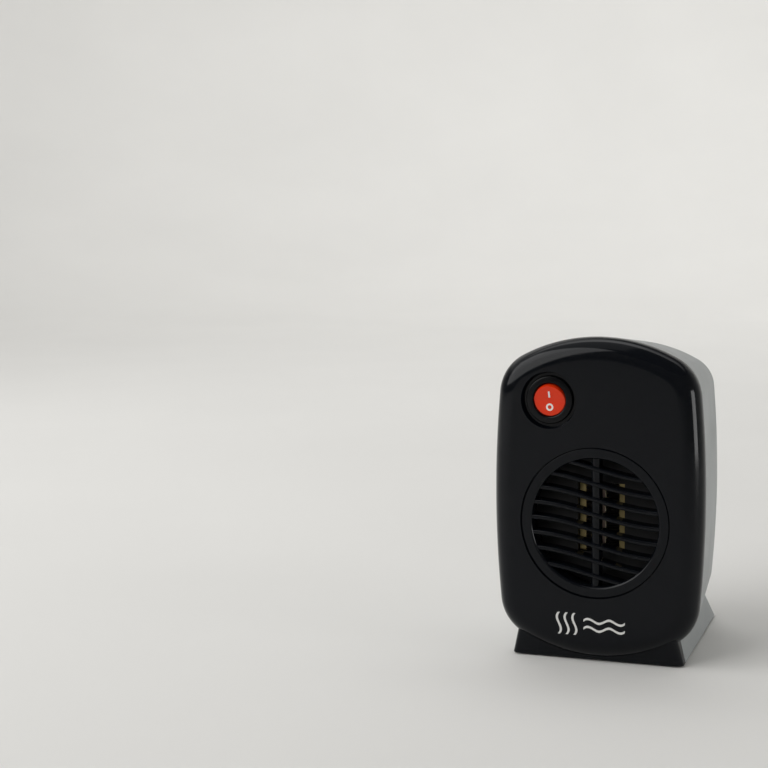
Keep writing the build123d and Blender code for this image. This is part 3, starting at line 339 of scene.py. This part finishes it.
# Gloss black ABS: the polished tool gives a wet shine, with a faint waviness over the face,
# hazy patches of handling and fine dust.
material, tree, shader, place = start_material("polished_black_abs")
haze = add_node(tree, "TexNoise", {"Vector": place, "Scale": per_mm(28), "Detail": 4.0})
dust = add_node(tree, "TexVoronoi", {"Vector": place, "Scale": per_mm(4.5), "Randomness": 1.0})
speck = add_node(tree, "MapRange", {"Value": dust.outputs["Distance"], "From Min": 0.02,
                                    "From Max": 0.05, "To Min": 0.5, "To Max": 0.0})
kept = add_node(tree, "Math", {0: dust.outputs["Color"], 1: 0.86}, operation="GREATER_THAN")
specks = add_node(tree, "Math", {0: speck.outputs["Result"], 1: kept.outputs["Value"]},
                  operation="MULTIPLY")
base = add_node(tree, "Mix", {"Factor": haze.outputs["Fac"], "A": srgb("#06080c"),
                              "B": srgb("#080b10")}, data_type="RGBA")
dusty = add_node(tree, "Mix", {"Factor": specks.outputs["Value"], "A": base.outputs["Result"],
                               "B": srgb("#8d8c88")}, data_type="RGBA")
tree.links.new(dusty.outputs["Result"], shader.inputs["Base Color"])
sheen = add_node(tree, "MapRange", {"Value": haze.outputs["Fac"], "From Min": 0.3,
                                    "From Max": 0.7, "To Min": 0.07, "To Max": 0.15})
tree.links.new(sheen.outputs["Result"], shader.inputs["Roughness"])
wave = add_node(tree, "TexNoise", {"Vector": place, "Scale": per_mm(9), "Detail": 1.0})
relief = add_node(tree, "Bump", {"Height": wave.outputs["Fac"], "Strength": 0.05,
                                 "Distance": 0.0004})
tree.links.new(relief.outputs["Normal"], shader.inputs["Normal"])
shader.inputs["IOR"].default_value = 1.5
shader.inputs["Specular IOR Level"].default_value = 0.17
gloss_black = material

panel = new_object("front_panel_shell",
                   casing_block(0, PANEL_DEPTH, 0, (0, 0), FACE_ROUND, True))
shape(panel, foot_block(FOOT_LIFT, FOOT_TOP, 0, FOOT_CORNER, back_limit=PANEL_DEPTH), "UNION")
shape(panel, casing_block(WALL, PANEL_DEPTH + OVERCUT, WALL, (0, 0), FACE_ROUND - WALL, True),
      "DIFFERENCE")
shape(panel, foot_block(FOOT_LIFT - FOOT_OPEN, FOOT_TOP, WALL, FOOT_CORNER - WALL,
                        back_limit=PANEL_DEPTH + OVERCUT), "DIFFERENCE")

# the wall behind the dish, the seat of the grille, the posts of the housing screws and the
# bosses that the element frame's ears stand on, all rooted in the middle of the wall
ROOT = WALL / 2
DISH_WALL_RADIUS, DISH_WALL_END = 14.8, 5.4
SEAT_INNER, SEAT_OUTER, SEAT_END = 34.2, 38.1, 3.4
POST_X, POST_LOW, POST_HIGH = 35.0, 27.0, 108.0
POST_RADIUS, POST_MEET = 4.5, 20.0
EAR_X, BOSS_RADIUS, EAR_FRONT = 39.5, 3.5, 12.0
SCREW_PLACES = [(sign * POST_X, z) for z in (POST_LOW, POST_HIGH) for sign in (-1, 1)]
EAR_PLACES = [(sign * EAR_X, OUTLET_Z) for sign in (-1, 1)]
inside = rod(DISH_WALL_RADIUS, ROOT, DISH_WALL_END, SWITCH_X, SWITCH_Z, steps=96)
turned([(SEAT_INNER, ROOT), (SEAT_OUTER, ROOT), (SEAT_OUTER, SEAT_END), (SEAT_INNER, SEAT_END)],
       0, OUTLET_Z, mesh=inside)
for x, z in SCREW_PLACES:
    rod(POST_RADIUS, ROOT, POST_MEET, x, z, inside)
shape(panel, inside, "UNION")
bosses = bmesh.new()
for x, z in EAR_PLACES:
    rod(BOSS_RADIUS, ROOT, EAR_FRONT, x, z, bosses)
shape(panel, bosses, "UNION")

# the dish with the switch's hole, the step and hole of the outlet, and the screw pilots
DISH_RADIUS, DISH_FLARE, DISH_DEEP, BARREL_HOLE = 12.6, 1.05, 3.2, 10.0
RING_SEAT, RING_DEEP, OUTLET_HOLE = 35.9, 1.2, 33.2
BEFORE, BARREL_THROUGH, OUTLET_THROUGH = -1, 9, 8      # where the cuts start and end
POST_PILOT, POST_PILOT_FROM = 1.3, 8
BOSS_PILOT, BOSS_PILOT_FROM = 1.2, 3.2
cuts = turned([(0, BEFORE), (DISH_RADIUS + DISH_FLARE, BEFORE), (DISH_RADIUS, DISH_DEEP),
               (BARREL_HOLE, DISH_DEEP), (BARREL_HOLE, BARREL_THROUGH), (0, BARREL_THROUGH)],
              SWITCH_X, SWITCH_Z, 128)
turned([(0, BEFORE), (RING_SEAT, BEFORE), (RING_SEAT, RING_DEEP), (OUTLET_HOLE, RING_DEEP),
        (OUTLET_HOLE, OUTLET_THROUGH), (0, OUTLET_THROUGH)], 0, OUTLET_Z, 160, cuts)
for x, z in SCREW_PLACES:
    rod(POST_PILOT, POST_PILOT_FROM, POST_MEET + 1, x, z, cuts, 24)
for x, z in EAR_PLACES:
    rod(BOSS_PILOT, BOSS_PILOT_FROM, EAR_FRONT + 1, x, z, cuts, 24)
shape(panel, cuts, "DIFFERENCE")
finish_piece(panel, "casing", gloss_black, edge=0.3)
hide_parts("front_panel")

# ---- outlet grille ----
# A gloss black moulded disc that snaps into the panel: a round-edged ring with a skirt behind
# it, eight slats that run level at both ends and fall across the middle, and an upright post.
GRILLE_FACE, GRILLE_BACK = 0.5, 8.0
RING_RADIUS, SKIRT_RADIUS, OUTLET_RADIUS = 35.65, 33.0, 30.5
SLAT_COUNT, SLAT_PITCH, SLAT_THICK, SLAT_SWING = 8, 7.3, 2.2, 5.0
SLAT_FRONT, SLAT_REACH, SLAT_ROOT, SLAT_ROUND = 1.3, 31.5, 0.9, 0.85
POST_HALF, POST_FRONT, POST_BACK, POST_ROOT, POST_ROUND = 2.2, 2.3, 7.9, 0.8, 2.0

grille = new_object("outlet_grille_moulding", turned(
    [(OUTLET_RADIUS, 1.5), (30.65, 1.1), (31.2, 0.6), (31.5, GRILLE_FACE), (35.0, GRILLE_FACE),
     (35.25, 0.56), (35.6, 0.9), (RING_RADIUS, 1.0), (RING_RADIUS, 1.2),
     (SKIRT_RADIUS, 1.2), (SKIRT_RADIUS, 3.7), (33.6, 3.7), (33.6, 4.7), (SKIRT_RADIUS, 4.9),
     (SKIRT_RADIUS, GRILLE_BACK), (OUTLET_RADIUS, GRILLE_BACK)], 0, OUTLET_Z, 160))


def slat_height(x):
    """The rise of a slat's middle line, from high at its left end to low at its right."""
    return -SLAT_SWING * math.sin(math.pi / 2 * x / SLAT_REACH)


def slat_end(rise, side):
    """How far a slat runs until its middle line is inside the ring's wall."""
    x = side * SLAT_REACH
    for _ in range(20):
        x = side * math.sqrt((OUTLET_RADIUS + SLAT_ROOT) ** 2 - (rise + slat_height(x)) ** 2)
    return x


def add_to(group, part):
    """Move a finished mesh into the group that is joined or cut in one go."""
    made = bpy.data.meshes.new("part")
    part.to_mesh(made)
    part.free()
    group.from_mesh(made)
    bpy.data.meshes.remove(made)


bars = bmesh.new()
for number in range(SLAT_COUNT):
    rise = (number - (SLAT_COUNT - 1) / 2) * SLAT_PITCH
    left, right = slat_end(rise, -1), slat_end(rise, 1)
    slat = bmesh.new()
    bmesh.ops.create_cube(slat, size=1)
    bmesh.ops.scale(slat, verts=slat.verts,
                    vec=(right - left, GRILLE_BACK - SLAT_FRONT, SLAT_THICK))
    bmesh.ops.translate(slat, verts=slat.verts,
                        vec=((left + right) / 2, (GRILLE_BACK + SLAT_FRONT) / 2, 0))
    front = [e for e in slat.edges if all(abs(v.co.y - SLAT_FRONT) < 0.01 for v in e.verts)
             and abs(e.verts[0].co.x - e.verts[1].co.x) > 1]
    bmesh.ops.bevel(slat, geom=front, offset=SLAT_ROUND, segments=5, profile=0.5, affect="EDGES",
                    material=-1)
    long = [e for e in slat.edges if abs(e.verts[0].co.x - e.verts[1].co.x) > 1]
    bmesh.ops.subdivide_edges(slat, edges=long, cuts=35, use_grid_fill=True)
    for v in slat.verts:
        v.co.z += OUTLET_Z + rise + slat_height(v.co.x)
    add_to(bars, slat)
shape(grille, bars, "UNION")
post = bmesh.new()
bmesh.ops.create_cube(post, size=2)
bmesh.ops.scale(post, verts=post.verts,
                vec=(POST_HALF, (POST_BACK - POST_FRONT) / 2, OUTLET_RADIUS + POST_ROOT))
bmesh.ops.translate(post, verts=post.verts, vec=(0, (POST_BACK + POST_FRONT) / 2, OUTLET_Z))
front = [e for e in post.edges if all(v.co.y < POST_FRONT + 0.01 for v in e.verts)
         and abs(e.verts[0].co.z - e.verts[1].co.z) > 1]
bmesh.ops.bevel(post, geom=front, offset=POST_ROUND, segments=6, profile=0.5, affect="EDGES",
                material=-1)
shape(grille, post, "UNION")
finish_piece(grille, "casing", gloss_black, edge=0.18)
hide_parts("outlet_grille")

# ---- heating element and its holder ----
# Ceramic stones between two contact strips, with folded aluminium fins on both sides, all held
# in a black heat-proof frame. A bimetal thermostat and a sleeved fuse sit beside it.


def moulded(name, colour, shade, grain, roughness, relief=0.25, cloud=24.0, specular=0.5):
    """An injection-moulded plastic: clouded colour over the fine grain of a sparked tool."""
    material, tree, shader, place = start_material(name)
    clouds = add_node(tree, "TexNoise", {"Vector": place, "Scale": per_mm(cloud), "Detail": 5.0})
    spark = add_node(tree, "TexNoise", {"Vector": place, "Scale": per_mm(grain), "Detail": 2.0})
    mixed = add_node(tree, "Mix", {"Factor": clouds.outputs["Fac"], "A": srgb(colour),
                                   "B": srgb(shade)}, data_type="RGBA")
    tree.links.new(mixed.outputs["Result"], shader.inputs["Base Color"])
    worn = add_node(tree, "MapRange", {"Value": clouds.outputs["Fac"], "From Min": 0.3,
                                       "From Max": 0.7, "To Min": roughness - 0.05,
                                       "To Max": roughness + 0.07})
    tree.links.new(worn.outputs["Result"], shader.inputs["Roughness"])
    bumps = add_node(tree, "Bump", {"Height": spark.outputs["Fac"], "Strength": relief,
                                    "Distance": grain * MM / 4})
    tree.links.new(bumps.outputs["Normal"], shader.inputs["Normal"])
    shader.inputs["IOR"].default_value = 1.53
    shader.inputs["Specular IOR Level"].default_value = specular
    return material


def rolled_metal(name, colour, shade, roughness, line=(0.12, 6.0, 6.0)):
    """A drawn or rolled metal: fine lines along its length and light handling tarnish."""
    material, tree, shader, place = start_material(name)
    stretched = add_node(tree, "Mapping", {"Vector": place,
                                           "Scale": [per_mm(size) for size in line]})
    lines = add_node(tree, "TexNoise", {"Vector": stretched.outputs["Vector"], "Scale": 1.0,
                                        "Detail": 3.0})
    tarnish = add_node(tree, "TexNoise", {"Vector": place, "Scale": per_mm(7), "Detail": 4.0})
    mixed = add_node(tree, "Mix", {"Factor": tarnish.outputs["Fac"], "A": srgb(colour),
                                   "B": srgb(shade)}, data_type="RGBA")
    tree.links.new(mixed.outputs["Result"], shader.inputs["Base Color"])
    drawn = add_node(tree, "MapRange", {"Value": lines.outputs["Fac"], "From Min": 0.3,
                                        "From Max": 0.7, "To Min": roughness - 0.08,
                                        "To Max": roughness + 0.1})
    tree.links.new(drawn.outputs["Result"], shader.inputs["Roughness"])
    bumps = add_node(tree, "Bump", {"Height": lines.outputs["Fac"], "Strength": 0.15,
                                    "Distance": 0.00003})
    tree.links.new(bumps.outputs["Normal"], shader.inputs["Normal"])
    shader.inputs["Metallic"].default_value = 1.0
    return material


def carry(names, material):
    """CAD pieces whose shape is right keep it and take this finish."""
    for name in names.split():
        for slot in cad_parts[name].material_slots:
            slot.material = material


heat_proof_black = moulded("glass_filled_nylon", "#0d0e10", "#131416", 0.5, 0.5, specular=0.3)
# The aluminium's pale gold tint is painted warm light.
aluminium = rolled_metal("rolled_aluminium", "#efe6cf", "#dccfa8", 0.3)
# The fins are coloured a dark grey-brown, far darker than bare aluminium.
dark_grey_brown_fins = rolled_metal("dark_grey_brown_aluminium_fins", "#4a4640", "#35322e", 0.45)
brass = rolled_metal("rolled_brass", "#c9a14c", "#b18a3c", 0.32)
spring_steel = rolled_metal("spring_steel", "#b4b5b8", "#96989c", 0.28)
ceramic = moulded("barium_titanate_ceramic", "#6e5a4e", "#5c4b42", 0.25, 0.62)
bakelite = moulded("phenolic_resin", "#3a1f14", "#2c1710", 0.4, 0.4)
glass_sleeve = moulded("varnished_glass_sleeve", "#d8d3c4", "#c2bca9", 0.4, 0.5)

carry("heater_frame", heat_proof_black)
carry("electrode_strips thermostat_cap", aluminium)
# The side plates' dull gold is painted warm light and painted shade: darker than bare aluminium,
# as the plates sit deep behind the grille.
carry("side_plates", rolled_metal("warm_lit_shaded_aluminium", "#9d8f66", "#7a6e4c", 0.42))
carry("thermostat_tabs switch_terminals contact_seesaw", brass)
carry("spring_bars fuse_clip impeller_clip switch_spring motor_shaft", spring_steel)
carry("ptc_stones", ceramic)
carry("thermostat_body", bakelite)
carry("thermal_fuse", glass_sleeve)

# The fins are one strip of thin aluminium, folded to and fro with rounded bends.
FIN_FRONT, FIN_DEEP, FIN_HALF_HIGH = 17.0, 11.0, 18.0
FIN_NEAR, FIN_FAR, FIN_FOLDS, FIN_THICK = 1.6, 8.2, 15, 0.3
for side, name in ((-1, "left"), (1, "right")):
    step = (2 * FIN_HALF_HIGH - FIN_THICK) / (2 * FIN_FOLDS)
    bend = step / 2
    strip = bmesh.new()
    z = OUTLET_Z - FIN_HALF_HIGH + FIN_THICK / 2
    inner, outer = FIN_NEAR + FIN_THICK / 2 + bend, FIN_FAR - FIN_THICK / 2 - bend
    last = strip.verts.new((inner, FIN_FRONT, z))
    for fold in range(2 * FIN_FOLDS):
        reach = outer if fold % 2 == 0 else inner
        run = bmesh.ops.extrude_vert_indiv(strip, verts=[last])["verts"][0]
        run.co.x = reach
        sign = -1 if fold % 2 == 0 else 1
        bent = bmesh.ops.spin(strip, geom=[run], cent=(reach, FIN_FRONT, z + bend), axis=(0, 1, 0),
                              dvec=(0, 0, 0), angle=sign * math.pi, steps=6)
        last = bent["geom_last"][0]
        z += step
    run = bmesh.ops.extrude_vert_indiv(strip, verts=[last])["verts"][0]
    run.co.x = outer
    drawn = bmesh.ops.extrude_edge_only(strip, edges=strip.edges[:])
    deeper = [g for g in drawn["geom"] if isinstance(g, bmesh.types.BMVert)]
    bmesh.ops.translate(strip, verts=deeper, vec=(0, FIN_DEEP, 0))
    bmesh.ops.recalc_face_normals(strip, faces=strip.faces)
    bmesh.ops.solidify(strip, geom=strip.faces[:], thickness=FIN_THICK / 2)
    bmesh.ops.scale(strip, verts=strip.verts, vec=(side, 1, 1))
    bmesh.ops.recalc_face_normals(strip, faces=strip.faces)
    fins = finish_piece(new_object("folded_fins_" + name, strip), "casing", dark_grey_brown_fins)
    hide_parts("fin_pack_" + name)

# ---- switch ----
# A round snap-in rocker switch: black nylon body with a domed bezel, and a red translucent
# polycarbonate rocker, a ball segment with a shallow valley, on two trunnions.
BEZEL_RADIUS, BARREL_RADIUS, WELL_RADIUS = 11.4, 9.8, 7.95
BEZEL_FRONT, BARREL_END, WELL_FLOOR = 1.2, 17.0, 14.2
PIVOT_DEPTH = 4.0
WING_DEPTH, WING_OUT, WING_SIZE = 7.35, 10.0, (6.0, 3.5, 1.4)      # the snap-in wings
AXLE_HOLE, AXLE_REACH = 1.15, 9.2

switch_nylon = moulded("black_nylon", "#07080a", "#0a0b0d", 0.45, 0.2, relief=0.08,
                       specular=0.15)
body_shell = new_object("switch_body_moulding", turned(
    [(WELL_RADIUS, 1.55), (8.25, BEZEL_FRONT + 0.08), (8.6, BEZEL_FRONT),
     (10.4, BEZEL_FRONT + 0.12), (11.0, 1.55), (11.32, 2.1), (BEZEL_RADIUS, 3.2),
     (BARREL_RADIUS, 3.2), (BARREL_RADIUS, BARREL_END), (0, BARREL_END), (0, WELL_FLOOR),
     (WELL_RADIUS, WELL_FLOOR)],
    SWITCH_X, SWITCH_Z, 128))
wings = bmesh.new()
for sign in (-1, 1):
    bmesh.ops.create_cube(wings, size=1, matrix=Matrix.Translation(
        (SWITCH_X, WING_DEPTH, SWITCH_Z + sign * WING_OUT)) @ Matrix.Diagonal((*WING_SIZE, 1)))
shape(body_shell, wings, "UNION")


def cross_rod(radius, reach):
    """A rod that lies across, along X, about the middle."""
    made = rod(radius, -reach, reach, steps=32)
    bmesh.ops.rotate(made, verts=made.verts, cent=(0, 0, 0),
                     matrix=Matrix.Rotation(math.pi / 2, 3, "Z"))
    return made


axle = cross_rod(AXLE_HOLE, AXLE_REACH)
bmesh.ops.translate(axle, verts=axle.verts, vec=(SWITCH_X, PIVOT_DEPTH, SWITCH_Z))
shape(body_shell, axle, "DIFFERENCE")
finish_piece(body_shell, "casing", switch_nylon, edge=0.12)
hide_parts("switch_body")

# Red polycarbonate: a deep clear red with a polished skin, slightly cloudy inside.
material, tree, shader, place = start_material("red_polycarbonate")
cloud = add_node(tree, "TexNoise", {"Vector": place, "Scale": per_mm(5), "Detail": 3.0})
deep = add_node(tree, "Mix", {"Factor": cloud.outputs["Fac"], "A": srgb("#d22c06"),
                              "B": srgb("#dc360b")}, data_type="RGBA")
tree.links.new(deep.outputs["Result"], shader.inputs["Base Color"])
worn = add_node(tree, "MapRange", {"Value": cloud.outputs["Fac"], "From Min": 0.3,
                                   "From Max": 0.7, "To Min": 0.14, "To Max": 0.24})
tree.links.new(worn.outputs["Result"], shader.inputs["Roughness"])
shader.inputs["IOR"].default_value = 1.58
shader.inputs["Specular IOR Level"].default_value = 0.25
shader.inputs["Subsurface Weight"].default_value = 0.15
shader.inputs["Subsurface Radius"].default_value = (0.004, 0.0008, 0.0004)
shader.inputs["Subsurface Scale"].default_value = 0.5
red_plastic = material

ROCKER_BALL, ROCKER_MID, ROCKER_BACK = 7.7, -1.8, 2.5
ROCKER_TILT = math.radians(10)
ROCKER_RIM = 0.35
STEM_RADIUS, STEM_END = 2.4, 6.5
SPRING_BORE, BORE_FROM, BORE_END = 1.35, -1, 7.5
TRUNNION_RADIUS, TRUNNION_REACH = 1.1, 9.0
ball = bmesh.new()
bmesh.ops.create_uvsphere(ball, u_segments=64, v_segments=48, radius=ROCKER_BALL)
bmesh.ops.rotate(ball, verts=ball.verts, cent=(0, 0, 0),
                 matrix=Matrix.Rotation(math.pi / 2, 3, "X"))
rocker = new_object("rocker_cap", ball)
# The slab that is kept of the ball has the shallow valley in front and a flat back.
SLAB_END = ROCKER_BALL + 1
rise = math.tan(ROCKER_TILT) * SLAB_END
slab = bmesh.new()
corners = [(-SLAB_END, y, z) for y, z in (
    (ROCKER_MID, 0), (ROCKER_MID - rise, SLAB_END), (ROCKER_BACK, SLAB_END),
    (ROCKER_BACK, -SLAB_END), (ROCKER_MID - rise, -SLAB_END))]
side = slab.faces.new([slab.verts.new(corner) for corner in corners])
drawn = bmesh.ops.extrude_face_region(slab, geom=[side])["geom"]
bmesh.ops.translate(slab, verts=[g for g in drawn if isinstance(g, bmesh.types.BMVert)],
                    vec=(2 * SLAB_END, 0, 0))
bmesh.ops.recalc_face_normals(slab, faces=slab.faces)
shape(rocker, slab, "INTERSECT")
cap = bmesh.new()
cap.from_mesh(rocker.data)
bmesh.ops.remove_doubles(cap, verts=cap.verts, dist=0.02)
bmesh.ops.dissolve_degenerate(cap, dist=0.02, edges=cap.edges)
round_rim = [e for e in cap.edges if e.is_manifold and e.calc_face_angle() > 0.6]
bmesh.ops.bevel(cap, geom=round_rim, offset=ROCKER_RIM, segments=4, profile=0.5, affect="EDGES",
                clamp_overlap=True, material=-1)
bmesh.ops.recalc_face_normals(cap, faces=cap.faces)
cap.to_mesh(rocker.data)
cap.free()
shape(rocker, rod(STEM_RADIUS, ROCKER_BACK - 1, STEM_END, steps=40), "UNION")
shape(rocker, cross_rod(TRUNNION_RADIUS, TRUNNION_REACH), "UNION")
shape(rocker, rod(SPRING_BORE, BORE_FROM, BORE_END, steps=32), "DIFFERENCE")
rocker.data.transform(Matrix.Translation((SWITCH_X, PIVOT_DEPTH, SWITCH_Z))
                      @ Matrix.Rotation(ROCKER_TILT, 4, "X"))
finish_piece(rocker, "rocker", red_plastic)
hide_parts("switch_rocker")
white_ink = moulded("white_pad_print", "#ece9e2", "#dedbd3", 0.3, 0.45, relief=0.1)
carry("rocker_legends", white_ink)
carry("switch_plunger", moulded("natural_nylon", "#dcd8cc", "#cfcabb", 0.4, 0.4))

# ---- printed mark ----
# Warm-air strokes, pad-printed low on the face in a thin silver-white ink that dries duller
# than the gloss plastic around it.
silver_ink = moulded("silver_pad_print", "#dcdcd8", "#c9c9c6", 0.25, 0.42, relief=0.15, cloud=6.0)
carry("printed_mark", silver_ink)

# ---- fan and motor ----
# An axial impeller with five blades on a shaded-pole motor: laminated steel core, lacquered
# copper winding on a nylon bobbin, cast brackets with bronze bearings.
carry("fan_shroud impeller", moulded("fan_polypropylene", "#1b1c1e", "#242528", 0.6, 0.45))
carry("rotor_core", rolled_metal("turned_rotor_steel", "#8d8e90", "#77787b", 0.35))
carry("shading_loops", rolled_metal("bare_copper", "#c27a52", "#a9653f", 0.3))
carry("front_bearing_bracket rear_bearing_bracket",
      moulded("die_cast_zinc", "#8f9092", "#7d7e80", 0.5, 0.4))
carry("bearing_bushes", rolled_metal("sintered_bronze", "#a3814e", "#8c6d40", 0.4))
carry("motor_bolts motor_nuts frame_screws shroud_screws plate_screws housing_screws",
      rolled_metal("zinc_plated_steel", "#a9adb3", "#8d9197", 0.27, line=(0.3, 0.3, 4.0)))
carry("coil_bobbin", moulded("bobbin_nylon", "#e4dfd0", "#d6d0be", 0.4, 0.45))


def striped(name, colour, dark, pitch, metallic, roughness, axis):
    """Thin layers or turns side by side, each with a shaded gap to the next."""
    material, tree, shader, place = start_material(name)
    bands = add_node(tree, "TexWave", {"Vector": place, "Scale": 0.314 / (pitch * MM),
                                       "Distortion": 0.4, "Detail": 1.0, "Detail Scale": 2.0},
                     bands_direction=axis)
    mixed = add_node(tree, "Mix", {"Factor": bands.outputs["Fac"], "A": srgb(dark),
                                   "B": srgb(colour)}, data_type="RGBA")
    tree.links.new(mixed.outputs["Result"], shader.inputs["Base Color"])
    bumps = add_node(tree, "Bump", {"Height": bands.outputs["Fac"], "Strength": 0.6,
                                    "Distance": pitch * MM / 3})
    tree.links.new(bumps.outputs["Normal"], shader.inputs["Normal"])
    shader.inputs["Metallic"].default_value = metallic
    shader.inputs["Roughness"].default_value = roughness
    return material


carry("stator_core coil_core",
      striped("stamped_steel_layers", "#85878a", "#4e5053", 0.5, 1.0, 0.42, "Y"))
carry("coil_winding",
      striped("lacquered_copper_wire", "#b4532a", "#5e2511", 0.35, 0.8, 0.3, "X"))

# ---- rear housing ----
# The silver-grey moulded shell: it tapers to a rounded back and carries most of the foot, with
# intake slots inside a circle, four deep screw wells and the cord's hole in the back wall.
TAPER, BACK_ROUND = (6.2, 7.9), 8.0      # the taper of the sides and of the ends
SHROUD_CIRCLE, SHROUD_SEAT = 40.0, 61.0
SCREW_HOLE, SCREW_WELL, WELL_FROM = 1.5, 3.2, 30.0
CORD_X, CORD_Z, CORD_HOLE = 20.0, 26.0, 5.4
satin_grey = moulded("satin_grey_abs", "#8b8f90", "#858989", 0.55, 0.42, relief=0.3, cloud=40.0)

housing = new_object("rear_housing_shell",
                     casing_block(PANEL_DEPTH, CASE_DEPTH, 0, TAPER, BACK_ROUND, False))
shape(housing, foot_block(FOOT_LIFT, FOOT_TOP, 0, FOOT_CORNER, front_limit=PANEL_DEPTH), "UNION")
shape(housing, casing_block(PANEL_DEPTH - OVERCUT, CASE_DEPTH - WALL, WALL, TAPER,
                            BACK_ROUND - WALL, False), "DIFFERENCE")
shape(housing, foot_block(FOOT_LIFT - FOOT_OPEN, FOOT_TOP, WALL, FOOT_CORNER - WALL,
                          front_limit=PANEL_DEPTH - OVERCUT), "DIFFERENCE")
BACK_WALL = CASE_DEPTH - WALL / 2
inside = bmesh.new()
for x, z in SCREW_PLACES:
    rod(POST_RADIUS, POST_MEET, BACK_WALL, x, z, inside)
EAR_REACH = SHROUD_CIRCLE * math.sqrt(0.5)
for x in (-EAR_REACH, EAR_REACH):
    for z in (OUTLET_Z - EAR_REACH, OUTLET_Z + EAR_REACH):
        rod(BOSS_RADIUS, SHROUD_SEAT, BACK_WALL, x, z, inside, 32)
shape(housing, inside, "UNION")

BEHIND = CASE_DEPTH + 2
cuts = rod(CORD_HOLE, CASE_DEPTH - 5, BEHIND, CORD_X, CORD_Z, steps=64)
for x, z in SCREW_PLACES:
    turned([(0, POST_MEET - 1), (SCREW_HOLE, POST_MEET - 1), (SCREW_HOLE, WELL_FROM),
            (SCREW_WELL, WELL_FROM), (SCREW_WELL, BEHIND), (0, BEHIND)], x, z, 48, cuts)
INTAKE_RADIUS, SLOT_PITCH, SLOT_WIDE, SLOT_CUT, MIDDLE_BAR = 29.0, 5.2, 2.6, 6.0, 3.2
rows = int((INTAKE_RADIUS - SLOT_WIDE) / SLOT_PITCH)
for row in range(-rows, rows + 1):
    rise = row * SLOT_PITCH
    reach = math.sqrt(INTAKE_RADIUS ** 2 - (abs(rise) + SLOT_WIDE / 2) ** 2)
    for sign in (-1, 1):
        slot = bmesh.new()
        bmesh.ops.create_cube(slot, size=1, matrix=Matrix.Diagonal(
            (reach - MIDDLE_BAR / 2, SLOT_CUT, SLOT_WIDE, 1)))
        ends = [e for e in slot.edges if abs(e.verts[0].co.y - e.verts[1].co.y) > 1]
        bmesh.ops.bevel(slot, geom=ends, offset=SLOT_WIDE / 2 - 0.01, segments=8, profile=0.5,
                        affect="EDGES", material=-1)
        bmesh.ops.translate(slot, verts=slot.verts, vec=(sign * (reach + MIDDLE_BAR / 2) / 2,
                                                         CASE_DEPTH - 1, OUTLET_Z + rise))
        add_to(cuts, slot)
shape(housing, cuts, "DIFFERENCE")
finish_piece(housing, "casing", satin_grey, edge=0.3)
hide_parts("rear_housing")

# ---- cord inlet ----
# A black rubber bush, moulded in one and snapped into the hole of the back wall. It has a
# rounded flange outside, a catch inside, and a bore for the cord.
CORD_BORE, CATCH_END = 3.4, CASE_DEPTH - 4.8
black_rubber = moulded("black_rubber", "#19191a", "#232324", 0.8, 0.68, relief=0.4)
bush = new_object("cord_inlet_bush", turned(
    [(CORD_BORE, 84.0), (3.9, BEHIND), (6.6, BEHIND), (7.15, 84.3), (7.4, 83.8),
     (7.4, CASE_DEPTH), (CORD_HOLE, CASE_DEPTH), (CORD_HOLE, CASE_DEPTH - WALL),
     (6.2, CASE_DEPTH - WALL), (4.8, CATCH_END), (CORD_BORE, CATCH_END)], CORD_X, CORD_Z, 96))
finish_piece(bush, "casing", black_rubber, edge=0.15)
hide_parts("cord_bush")

# ---- base plate and pads ----
# A matt black moulded plate closes the foot from below, held by four screws. The heater stands
# on its four rubber pads.
carry("base_plate", moulded("matt_black_abs", "#1c1d1e", "#242526", 0.9, 0.6, relief=0.4))
carry("rubber_feet", black_rubber)
